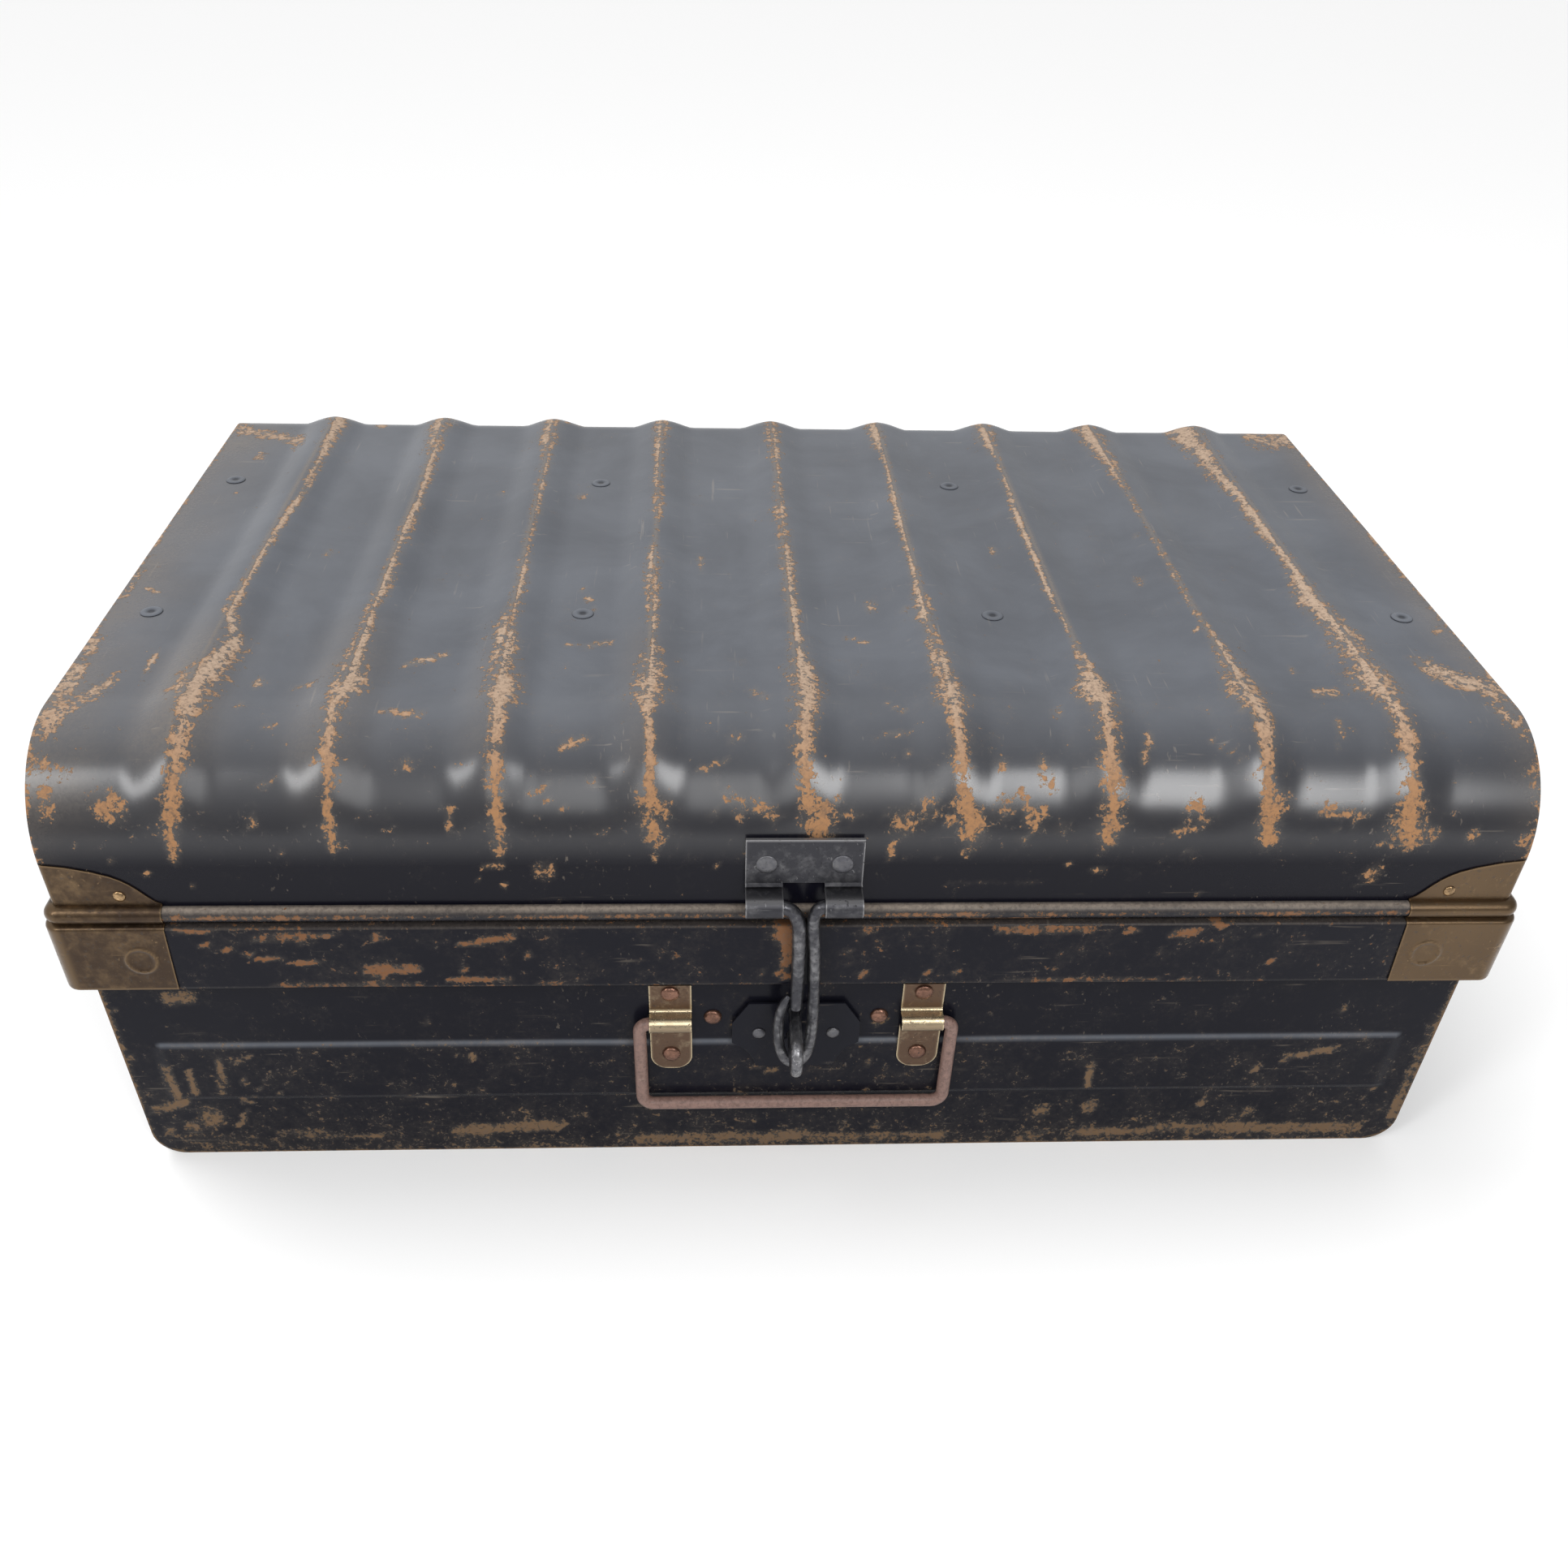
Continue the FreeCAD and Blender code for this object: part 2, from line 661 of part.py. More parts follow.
def corner_cap():
    """A cap over one corner of the rim, the lid's corner at the origin and the lid at +X, +Y."""
    reach = d.skirt_reach + d.cap_sheet + d.overrun
    strip = cap_strip(-reach, reach + d.cap_leaf).common(mitre_block(0, d.cap_leaf + reach, reach))
    outline = cap_leaf_outline().translated(Vector(0, -reach, 0))
    leaf = strip.common(outline.extrude(Vector(0, 2 * reach, 0)))
    boss_root = Vector(d.cap_boss_at, -d.skirt_reach, d.cap_boss_height)
    boss = Part.makeCylinder(d.cap_boss_radius, d.cap_sheet + d.cap_boss_proud, boss_root, FORWARD)
    leaf = leaf.fuse(boss)
    other = leaf.mirror(Vector(0, 0, 0), Vector(1, -1, 0))
    return leaf.fuse(other).removeSplitter()


for corner, angle, side_x, side_y in (
        ("front_left", 0, -1, -1), ("front_right", 90, 1, -1),
        ("back_right", 180, 1, 1), ("back_left", 270, -1, 1)):
    cap = feature(f"cap_{corner}", corner_cap())
    cap.Placement = Placement(Vector(side_x * d.half_length, side_y * d.half_depth, 0), Rotation(UP, angle))
    node(f"corner_cap_{corner}", cut(f"corner_cap_{corner}", cap, cap_rivets))


# Bars inside the lid
for place in ("front", "rear"):
    bar = bound(
        "Part::Box", f"stiffener_{place}",
        Length="Sizes.lid_length - 2 * (Sizes.sheet + Sizes.seat_gap)",
        Width="Sizes.stiffener_width",
        Height="Sizes.stiffener_thickness",
        x="-Sizes.half_length + Sizes.sheet + Sizes.seat_gap",
        y=f"Sizes.stiffener_{place}_at - Sizes.stiffener_width / 2",
        z="Sizes.lid_top - Sizes.sheet - Sizes.stiffener_thickness")
    node(f"lid_stiffener_{place}", cut(f"lid_stiffener_{place}", bar, ring_rivets))


# Hasp plate: a flat plate whose lower edge curls over into two knuckles, with a notch between them
plate = bound(
    "Part::Box", "hasp_flat",
    Length="Sizes.hasp_plate_width",
    Width="Sizes.hasp_plate_thickness",
    Height="Sizes.hasp_axis_height + Sizes.hasp_plate_height - Sizes.hasp_curl_under",
    x="Sizes.hasp_plate_left",
    y="-Sizes.half_depth - Sizes.hasp_plate_thickness",
    z="Sizes.hasp_curl_under")
curl = bound(
    "Part::Box", "hasp_curl",
    Length="Sizes.hasp_plate_width",
    Width="-Sizes.half_depth - Sizes.hasp_axis_y",
    Height="Sizes.hasp_plate_thickness",
    x="Sizes.hasp_plate_left",
    y="Sizes.hasp_axis_y",
    z="Sizes.hasp_curl_under")
barrel = bound(
    "Part::Cylinder", "hasp_barrel",
    Radius="Sizes.hasp_knuckle_radius",
    Height="Sizes.hasp_plate_width",
    x="Sizes.hasp_plate_left",
    y="Sizes.hasp_axis_y",
    z="Sizes.hasp_axis_height")
bore = bound(
    "Part::Cylinder", "hasp_bore",
    Radius="Sizes.hasp_rod_radius + Sizes.running_gap",
    Height="Sizes.hasp_plate_width + 2 * Sizes.overrun",
    x="Sizes.hasp_plate_left - Sizes.overrun",
    y="Sizes.hasp_axis_y",
    z="Sizes.hasp_axis_height")
for round_piece in (barrel, bore):
    round_piece.Placement.Rotation = ALONG_X
notch = bound(
    "Part::Box", "hasp_notch",
    Length="Sizes.hasp_notch_right - Sizes.hasp_notch_left",
    Width="-Sizes.half_depth - Sizes.hasp_axis_y + Sizes.hasp_knuckle_radius + Sizes.overrun",
    Height="2 * Sizes.hasp_knuckle_radius + Sizes.hasp_notch_margin + Sizes.overrun",
    x="Sizes.hasp_notch_left",
    y="Sizes.hasp_axis_y - Sizes.hasp_knuckle_radius - Sizes.overrun",
    z="Sizes.hasp_axis_height - Sizes.hasp_knuckle_radius - Sizes.overrun")
hasp_plate = fuse("hasp_plate_whole", plate, curl, barrel)
node("hasp_plate", cut("hasp_plate", hasp_plate, bore, notch, hasp_plate_rivets))


# Hasp rod: the right leg turns through the eye and laps up beside the left leg
def hasp_point(out, height):
    """A point in the plane of the hasp rod, measured sideways from the lock's centre."""
    return Vector(d.lock_offset + out, d.hasp_axis_y, height)


stub_end = d.hasp_plate_width / 2 - d.hasp_stub_setback
eye_bend = (d.hasp_right_leg - d.hasp_left_side) / 2 * EYE_ROUND_SHARE
eye_rod = rod("hasp_eye", bent_wire(
    [hasp_point(stub_end, d.hasp_axis_height),
     hasp_point(d.hasp_right_leg, d.hasp_axis_height),
     hasp_point(d.hasp_right_leg, d.hasp_eye_bottom),
     hasp_point(d.hasp_left_side, d.hasp_eye_bottom),
     hasp_point(d.hasp_left_side, d.hasp_tip_root)],
    [d.hasp_right_bend, eye_bend, eye_bend]), "hasp_rod_radius")
leg_rod = rod("hasp_leg", bent_wire(
    [hasp_point(-stub_end, d.hasp_axis_height),
     hasp_point(d.hasp_left_leg, d.hasp_axis_height),
     hasp_point(d.hasp_left_leg, d.hasp_left_leg_end)],
    [d.hasp_left_bend]), "hasp_rod_radius")
tip = bound(
    "Part::Cone", "hasp_tip",
    Radius1="Sizes.hasp_rod_radius",
    Radius2="Sizes.hasp_tip_radius",
    Height="Sizes.hasp_tip_length",
    x="Sizes.lock_offset + Sizes.hasp_left_side",
    y="Sizes.hasp_axis_y",
    z="Sizes.hasp_tip_root")
node("hasp_rod", fuse("hasp_rod", eye_rod, leg_rod, tip))


# Body sheets
def body_outline(inset):
    """Front view of the body, open at the top edge, with rounded lower corners."""
    half = d.body_half_length - inset
    radius = d.body_corner - inset
    right_centre = Vector(half - radius, inset + radius, 0)
    left_centre = Vector(-half + radius, inset + radius, 0)
    down = Vector(0, -1, 0)
    return (
        Vector(-half, d.wall_top, 0),
        Vector(-half, left_centre.y, 0),
        quarter(left_centre, radius, LEFT, down),
        Vector(right_centre.x, inset, 0),
        quarter(right_centre, radius, down, RIGHT),
        Vector(half, d.wall_top, 0),
    )


def reversed_outline(outline):
    """The same open outline walked the other way."""
    start, *steps = outline
    points = [start]
    middles = []
    for step in steps:
        middles.append(step[0] if isinstance(step, tuple) else None)
        points.append(step[1] if isinstance(step, tuple) else step)
    back = [points[-1]]
    for middle, point in zip(reversed(middles), reversed(points[:-1])):
        back.append((middle, point) if middle else point)
    return back


outer_u = body_outline(0)
inner_u = reversed_outline(body_outline(d.sheet))
body_sheet = padded("body_sheet", "XZ_Plane", edges_through(*outer_u, *inner_u, outer_u[0]),
                    "2 * Sizes.body_half_depth")
bind(body_sheet, y="Sizes.body_half_depth")
node("body_wrap", body_sheet)


def band_block(label, inset, depth):
    """The raised band as a trapezium bar, standing out from a panel whose face is at y = 0."""
    low = d.band_bottom + inset
    high = d.band_top - inset
    half = d.body_half_length - d.band_margin - inset
    section = face(
        Vector(-half, depth, low - d.band_slope),
        Vector(-half, 0, low - d.band_slope),
        Vector(-half, -d.band_proud, low),
        Vector(-half, -d.band_proud, high),
        Vector(-half, 0, high + d.band_slope),
        Vector(-half, depth, high + d.band_slope),
    )
    return feature(label, section.extrude(Vector(2 * half, 0, 0)))


def body_panel(label, angle, y, *tools):
    """A flat panel between the ends, with a raised band pressed out of it."""
    start, *steps = body_outline(d.sheet)
    flat = padded(f"{label}_flat", "XZ_Plane", edges_through(start, *steps, start), "Sizes.sheet")
    bind(flat, y="Sizes.sheet")
    band = band_block(f"{label}_band", 0, d.sheet)
    hollow = band_block(f"{label}_hollow", d.sheet, d.sheet + d.overrun)
    hollow.Placement = Placement(Vector(0, d.sheet, 0), Rotation())
    whole = fuse(f"{label}_whole", flat, band)
    pressed = cut(f"{label}_pressed", whole, hollow)
    pressed.Placement.Rotation = Rotation(UP, angle)
    bind(pressed, y=y)
    return node(label, cut(label, pressed, *tools))


# Staple rod, needed before the plates that it passes through
def staple_point(out, height):
    """A point in the plane of the staple, measured outwards from the front panel."""
    return Vector(d.staple_x, -d.body_half_depth - out, height)


staple_root = -d.sheet - d.backing_thickness - d.staple_tail
staple_out = d.staple_nose - d.staple_rod_radius
staple_bend = d.staple_bend_inside + d.staple_rod_radius
staple = rod("staple", bent_wire(
    [staple_point(staple_root, d.staple_high_leg),
     staple_point(staple_out, d.staple_high_leg),
     staple_point(staple_out, d.staple_low_leg),
     staple_point(staple_root, d.staple_low_leg)],
    [staple_bend, staple_bend]), "staple_rod_radius")
node("staple_loop", staple)

body_panel("body_front_panel", 0, "-Sizes.body_half_depth",
           staple, staple_plate_rivets, backing_rivets, clip_rivets)
body_panel("body_back_panel", 180, "Sizes.body_half_depth", hinge_body_rivets)


def rim_wire_path():
    """The wire's centre line round the outside of the body's top edge."""
    out = d.rim_wire_radius + d.wire_gap
    height = d.wall_top - d.rim_wire_radius
    x = d.body_half_length
    y = d.body_half_depth
    start = Vector(0, -y - out, height)
    steps = []
    for corner, first, second in (
            (Vector(x, -y, height), FORWARD, RIGHT), (Vector(x, y, height), RIGHT, BACKWARD),
            (Vector(-x, y, height), BACKWARD, LEFT), (Vector(-x, -y, height), LEFT, FORWARD)):
        steps.append(corner + first * out)
        steps.append(quarter(corner, out, first, second))
    return Part.Wire([curve.toShape() for curve in edges_through(start, *steps, start)])


node("body_rim_wire", rod("body_rim", rim_wire_path(), "rim_wire_radius"))


# Staple plate and the plate behind the panel
def staple_plate_outline():
    """Cut corners above, hollowed corners below, in the front plane's own axes."""
    hollow_out, hollow_up = PLATE_HOLLOW_SHARES

    def at(out_share, up_share):
        return Vector(d.lock_offset + d.staple_plate_width / 2 * out_share,
                      d.staple_plate_bottom + d.staple_plate_height * up_share, 0)

    start = at(-PLATE_TOP_SHARE, 1)
    return edges_through(
        start, at(PLATE_TOP_SHARE, 1), at(1, PLATE_SHOULDER_SHARE), at(1, PLATE_WAIST_SHARE),
        (at(hollow_out, hollow_up), at(PLATE_BASE_SHARE, 0)), at(-PLATE_BASE_SHARE, 0),
        (at(-hollow_out, hollow_up), at(-1, PLATE_WAIST_SHARE)), at(-1, PLATE_SHOULDER_SHARE), start)


front_plate = padded("staple_plate_flat", "XZ_Plane", staple_plate_outline(), "Sizes.staple_plate_thickness")
bind(front_plate, y="-Sizes.body_half_depth - Sizes.band_proud")
node("staple_plate", cut("staple_plate", front_plate, staple, staple_plate_rivets))

backing = bound(
    "Part::Box", "backing_flat",
    Length="Sizes.backing_width",
    Width="Sizes.backing_thickness",
    Height="Sizes.backing_height",
    x="Sizes.lock_offset - Sizes.backing_width / 2",
    y="-Sizes.body_half_depth + Sizes.sheet",
    z="Sizes.backing_bottom")
node("staple_backing_plate",
     cut("staple_backing_plate", backing, staple, staple_plate_rivets, backing_rivets))


# Bail handle and its clips
def handle_point(out, height):
    """A point in the plane of the hanging handle, measured sideways from the lock's centre."""
    return Vector(d.lock_offset + out, d.handle_axis_y, height)


handle_bar_height = d.handle_axis_height - d.handle_fall
node("handle_bail", rod("handle", bent_wire(
    [handle_point(-d.handle_stub_end, d.handle_axis_height),
     handle_point(-d.handle_half, d.handle_axis_height),
     handle_point(-d.handle_half, handle_bar_height),
     handle_point(d.handle_half, handle_bar_height),
     handle_point(d.handle_half, d.handle_axis_height),
     handle_point(d.handle_stub_end, d.handle_axis_height)],
    [d.handle_top_bend, d.handle_low_bend, d.handle_low_bend, d.handle_top_bend]), "handle_rod_radius"))
clip_top = d.handle_axis_height + d.clip_rise
clip_bottom = d.handle_axis_height - d.clip_fall


def clip_section():
    """The strip seen from its end: upper tab on the panel, swage over the rod, lower tab on the band."""
    bore_radius = d.handle_rod_radius + d.running_gap
    outer_radius = bore_radius + d.clip_sheet
    axis = d.handle_axis_height
    out = -d.handle_axis_y - d.body_half_depth
    low_out = d.band_proud + d.clip_sheet
    return face(
        across(0, clip_top),
        across(d.clip_sheet, clip_top),
        across(d.clip_sheet, axis + outer_radius),
        across(out, axis + outer_radius),
        (across(out + outer_radius, axis), across(out, axis - outer_radius)),
        across(low_out, axis - outer_radius),
        across(low_out, clip_bottom),
        across(d.band_proud, clip_bottom),
        across(d.band_proud, axis - bore_radius),
        across(out, axis - bore_radius),
        (across(out + bore_radius, axis), across(out, axis + bore_radius)),
        across(0, axis + bore_radius),
    )


def clip_front():
    """The strip seen from the front, its lower corners rounded."""
    half = d.clip_width / 2
    radius = d.clip_corner
    right_centre = Vector(half - radius, 0, clip_bottom + radius)
    left_centre = Vector(-half + radius, 0, clip_bottom + radius)
    down = Vector(0, 0, -1)
    return face(
        Vector(-half, 0, clip_top),
        Vector(-half, 0, left_centre.z),
        quarter(left_centre, radius, LEFT, down),
        Vector(right_centre.x, 0, clip_bottom),
        quarter(right_centre, radius, down, RIGHT),
        Vector(half, 0, clip_top),
    )


def handle_clip():
    """One clip, the panel's face at y = 0."""
    depth = -d.handle_axis_y - d.body_half_depth + d.handle_rod_radius + d.clip_sheet + d.overrun
    section = clip_section().translated(Vector(-d.clip_width / 2, 0, 0))
    front = clip_front().translated(Vector(0, -depth, 0))
    return section.extrude(Vector(d.clip_width, 0, 0)).common(front.extrude(Vector(0, 2 * depth, 0)))


for side, sign in (("left", -1), ("right", 1)):
    clip = feature(f"clip_{side}", handle_clip())
    place = Vector(d.lock_offset + sign * d.clip_spacing / 2, -d.body_half_depth, 0)
    clip.Placement = Placement(place, Rotation())
    node(f"handle_clip_{side}", cut(f"handle_clip_{side}", clip, clip_rivets))


# Hinges: lid leaf on the skirt, cranked body leaf under it, pin through three knuckles
def hinge_cylinder(label, radius, length, x):
    """A round piece along the hinge axis."""
    item = bound("Part::Cylinder", label, Radius=radius, Height=length, x=x,
                 y="Sizes.hinge_axis_y", z="Sizes.hinge_axis_z")
    item.Placement.Rotation = ALONG_X
    return item


def hinge(side, sign):
    """Both leaves and the pin of one hinge."""
    middle = f"({sign} * Sizes.hinge_at)"
    left_end = f"({middle} - Sizes.hinge_width / 2)"
    inner_left = f"({middle} - Sizes.hinge_knuckle / 2)"
    knuckle = "Sizes.hinge_knuckle_radius"
    bore = hinge_cylinder(f"hinge_bore_{side}", "Sizes.hinge_pin_radius + Sizes.running_gap",
                          "Sizes.hinge_width + 2 * Sizes.overrun", f"{left_end} - Sizes.overrun")
    lid_plate = bound(
        "Part::Box", f"hinge_lid_plate_{side}",
        Length="Sizes.hinge_width",
        Width="Sizes.hinge_sheet",
        Height="Sizes.hinge_leaf_height",
        x=left_end,
        y="Sizes.skirt_back",
        z="Sizes.skirt_bottom")
    lid_neck = bound(
        "Part::Box", f"hinge_lid_neck_{side}",
        Length="Sizes.hinge_knuckle",
        Width="Sizes.hinge_sheet",
        Height=f"Sizes.hinge_drop + {knuckle}",
        x=inner_left,
        y="Sizes.skirt_back",
        z="Sizes.hinge_axis_z")
    lid_barrel = hinge_cylinder(f"hinge_lid_barrel_{side}", knuckle, "Sizes.hinge_knuckle", inner_left)
    lid_whole = fuse(f"hinge_lid_whole_{side}", lid_plate, lid_neck, lid_barrel)
    node(f"hinge_lid_leaf_{side}", cut(f"hinge_lid_leaf_{side}", lid_whole, bore, hinge_lid_rivets))

    body_plate = bound(
        "Part::Box", f"hinge_body_plate_{side}",
        Length="Sizes.hinge_width",
        Width="Sizes.hinge_sheet",
        Height=f"Sizes.hinge_leaf_height - {knuckle}",
        x=left_end,
        y="Sizes.body_half_depth",
        z="Sizes.hinge_body_foot")
    crank = bound(
        "Part::Box", f"hinge_crank_{side}",
        Length="Sizes.hinge_width",
        Width="Sizes.hinge_axis_y - Sizes.body_half_depth",
        Height="Sizes.hinge_sheet",
        x=left_end,
        y="Sizes.body_half_depth",
        z=f"Sizes.hinge_axis_z - {knuckle}")
    body_barrel = hinge_cylinder(f"hinge_body_barrel_{side}", knuckle, "Sizes.hinge_width", left_end)
    slot = bound(
        "Part::Box", f"hinge_slot_{side}",
        Length="Sizes.hinge_knuckle + 2 * Sizes.hinge_end_gap",
        Width=f"2 * {knuckle} + Sizes.hinge_end_gap + Sizes.overrun",
        Height=f"2 * ({knuckle} + Sizes.overrun)",
        x=f"{inner_left} - Sizes.hinge_end_gap",
        y=f"Sizes.hinge_axis_y - {knuckle} - Sizes.hinge_end_gap",
        z=f"Sizes.hinge_axis_z - {knuckle} - Sizes.overrun")
    body_whole = fuse(f"hinge_body_whole_{side}", body_plate, crank, body_barrel)
    node(f"hinge_body_leaf_{side}", cut(f"hinge_body_leaf_{side}", body_whole, slot, bore, hinge_body_rivets))

    shaft = hinge_cylinder(f"hinge_shaft_{side}", "Sizes.hinge_pin_radius", "Sizes.hinge_width", left_end)
    heads = [
        hinge_cylinder(f"hinge_head_{end}_{side}", "Sizes.hinge_pin_head_radius", "Sizes.hinge_pin_head", x)
        for end, x in (("left", f"{left_end} - Sizes.hinge_pin_head"),
                       ("right", f"{left_end} + Sizes.hinge_width"))]
    node(f"hinge_pin_{side}", fuse(f"hinge_pin_{side}", shaft, *heads))


hinge("left", -1)
hinge("right", 1)

# Check and write
doc.recompute()
for item in doc.Objects:
    if "Invalid" in item.State or "Error" in item.State:
        raise RuntimeError(f"{item.Label} failed: {item.State}")
os.makedirs("parts", exist_ok=True)
for item in node_objects:
    shape = item.Shape
    if shape.isNull() or not shape.isValid() or not shape.Solids:
        raise RuntimeError(f"{item.Label} has no valid solid")
    shape.exportStep(f"parts/{item.Label}.step")
    print(f"{item.Label}: {len(shape.Solids)} solids, {shape.Volume / 1000:.2f} cm3")
print(f"{len(node_objects)} nodes, hinge axis y {d.hinge_axis_y:.3f} z {d.hinge_axis_z:.3f}")
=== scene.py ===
"""Metal trunk: the dressed model of an old painted sheet-metal trunk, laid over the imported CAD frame.

Lengths in the tables are in millimetres, in the frame's own axes: X to the right, Y to the back, Z up.
"""
import math
import random

import bmesh
import bpy
import numpy as np
from mathutils import Matrix, Vector, noise


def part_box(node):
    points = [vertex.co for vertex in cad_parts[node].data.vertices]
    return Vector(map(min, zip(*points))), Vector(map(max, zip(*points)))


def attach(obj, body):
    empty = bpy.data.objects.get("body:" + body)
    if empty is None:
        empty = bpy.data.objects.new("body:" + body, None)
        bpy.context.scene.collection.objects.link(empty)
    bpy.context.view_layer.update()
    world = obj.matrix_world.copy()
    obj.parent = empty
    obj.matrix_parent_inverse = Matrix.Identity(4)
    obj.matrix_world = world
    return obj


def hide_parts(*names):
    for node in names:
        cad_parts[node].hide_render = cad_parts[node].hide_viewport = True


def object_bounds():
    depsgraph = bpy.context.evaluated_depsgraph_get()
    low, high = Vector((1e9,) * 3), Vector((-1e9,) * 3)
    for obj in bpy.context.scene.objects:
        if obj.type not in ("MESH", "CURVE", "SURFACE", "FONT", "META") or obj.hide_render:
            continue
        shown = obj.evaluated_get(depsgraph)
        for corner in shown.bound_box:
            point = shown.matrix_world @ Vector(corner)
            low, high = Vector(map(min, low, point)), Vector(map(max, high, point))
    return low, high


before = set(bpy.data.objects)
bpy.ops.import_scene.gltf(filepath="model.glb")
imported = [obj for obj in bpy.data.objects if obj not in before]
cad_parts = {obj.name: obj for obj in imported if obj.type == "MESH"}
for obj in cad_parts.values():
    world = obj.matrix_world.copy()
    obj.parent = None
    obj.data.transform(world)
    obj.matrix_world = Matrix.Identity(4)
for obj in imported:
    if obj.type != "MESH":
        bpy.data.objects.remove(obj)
CAD_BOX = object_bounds()
MM = 0.001

bl_info = {
    "name": "Metal Trunk",
    "version": (1, 0, 0),
    "blender": (4, 5, 0),
    "location": "3D View > Sidebar > Trunk",
    "description": "Builds a worn sheet-metal trunk with ribbed lid, brass corners, hasp and handle",
    "category": "Object",
}

LID_LOW, LID_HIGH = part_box("lid_wrap")
RIM_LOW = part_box("lid_rim_front")[0]
BODY_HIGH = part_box("body_wrap")[1]

# Where the paint is worn

# For each rib, from the back to the front: run along the lid sheet, offset from the crest, half width.
RIB_WEAR = (
    ((398, 3.2, 7.3), (351, 4.4, 3.5), (310, 5.0, 2.9), (273, 3.0, 2.8), (243, 1.3, 3.1), (206, 0.8, 3.0),
     (176, 0.4, 4.3), (153, 8.7, 6.9), (136, 6.8, 8.1), (112, 2.8, 13.1), (93, 4.7, 6.0), (76, 4.6, 6.0),
     (61, 2.4, 5.4), (51, 1.0, 4.8), (38, -0.8, 3.6)),
    ((392, -1.6, 7.3), (352, 1.2, 3.9), (299, 2.9, 3.7), (267, 1.4, 3.6), (234, 1.1, 3.5), (201, 1.7, 3.7),
     (177, 0.2, 4.3), (158, 1.5, 4.9), (136, 1.4, 7.5), (115, 3.0, 12.6), (99, -0.4, 7.1), (80, 0.0, 5.1),
     (65, 0.5, 4.5), (53, -0.4, 3.9), (43, -0.3, 3.3)),
    ((391, -1.4, 6.4), (346, 1.0, 3.9), (293, 0.6, 3.3), (252, 0.4, 3.2), (223, 0.8, 3.5), (188, 1.0, 4.0),
     (159, -0.7, 5.7), (132, 1.2, 8.6), (111, 2.5, 10.3), (96, 2.7, 5.2), (80, 3.2, 5.5), (67, 3.3, 5.2),
     (53, 3.2, 4.6), (40, 3.5, 3.6)),
    ((392, -0.7, 5.1), (341, -0.9, 3.5), (288, 0.4, 3.3), (264, 0.2, 1.2), (230, -0.9, 3.9), (188, 0.3, 3.7),
     (159, 1.1, 3.9), (133, 0.7, 6.6), (107, 0.5, 11.4), (93, 0.7, 3.9), (78, 2.0, 2.9), (65, 2.0, 3.9),
     (53, 1.9, 8.3), (44, 3.7, 5.3)),
    ((394, 0.2, 5.6), (342, 0.9, 2.7), (289, 0.4, 3.8), (254, 0.4, 4.4), (220, 0.9, 4.3), (184, 1.4, 4.1),
     (155, 2.1, 4.3), (120, 3.4, 8.6), (100, 3.2, 8.3), (87, 1.8, 6.3), (74, 1.4, 5.3), (61, 2.2, 5.3),
     (51, 6.6, 8.4), (42, 9.7, 8.4)),
    ((392, -2.8, 5.6), (344, -0.8, 2.7), (297, -1.4, 3.8), (255, -1.0, 3.7), (221, -0.9, 3.1),
     (190, -1.2, 4.2), (160, -0.4, 5.1), (129, 0.2, 6.0), (108, 1.5, 9.6), (93, 1.4, 5.7), (78, 2.0, 5.3),
     (65, 2.5, 4.0), (53, 5.6, 8.4), (44, 8.3, 6.8)),
    ((390, -1.4, 6.6), (352, -0.2, 2.7), (311, -1.7, 3.1), (273, -2.9, 2.5), (233, -2.4, 2.4),
     (195, -2.4, 2.3), (161, -1.0, 2.2), (134, 0.2, 3.2), (108, 0.3, 9.7), (93, 1.0, 7.4), (78, 0.8, 6.4),
     (65, 1.0, 5.4), (53, 2.2, 6.8), (44, 0.9, 5.8)),
    ((387, -2.9, 8.0), (347, -0.3, 5.0), (299, -0.4, 2.6), (257, -0.3, 2.5), (217, -0.4, 2.4),
     (181, -0.6, 2.3), (153, 0.8, 3.3), (125, 1.9, 7.8), (105, 1.2, 9.7), (93, 4.6, 5.8), (78, 2.6, 4.8),
     (65, 2.5, 3.7), (52, 3.8, 6.5), (44, 4.8, 5.5)),
    ((393, -7.4, 10.5), (348, -5.6, 8.7), (308, -3.1, 4.8), (269, -2.9, 4.7), (228, -2.0, 4.5),
     (192, -4.5, 8.6), (162, -0.5, 9.4), (135, -1.2, 11.3), (109, -2.1, 10.9), (94, -1.1, 6.5),
     (78, -0.5, 5.5), (65, 0.2, 5.5), (52, 0.6, 8.7), (44, 2.9, 9.8)),
)

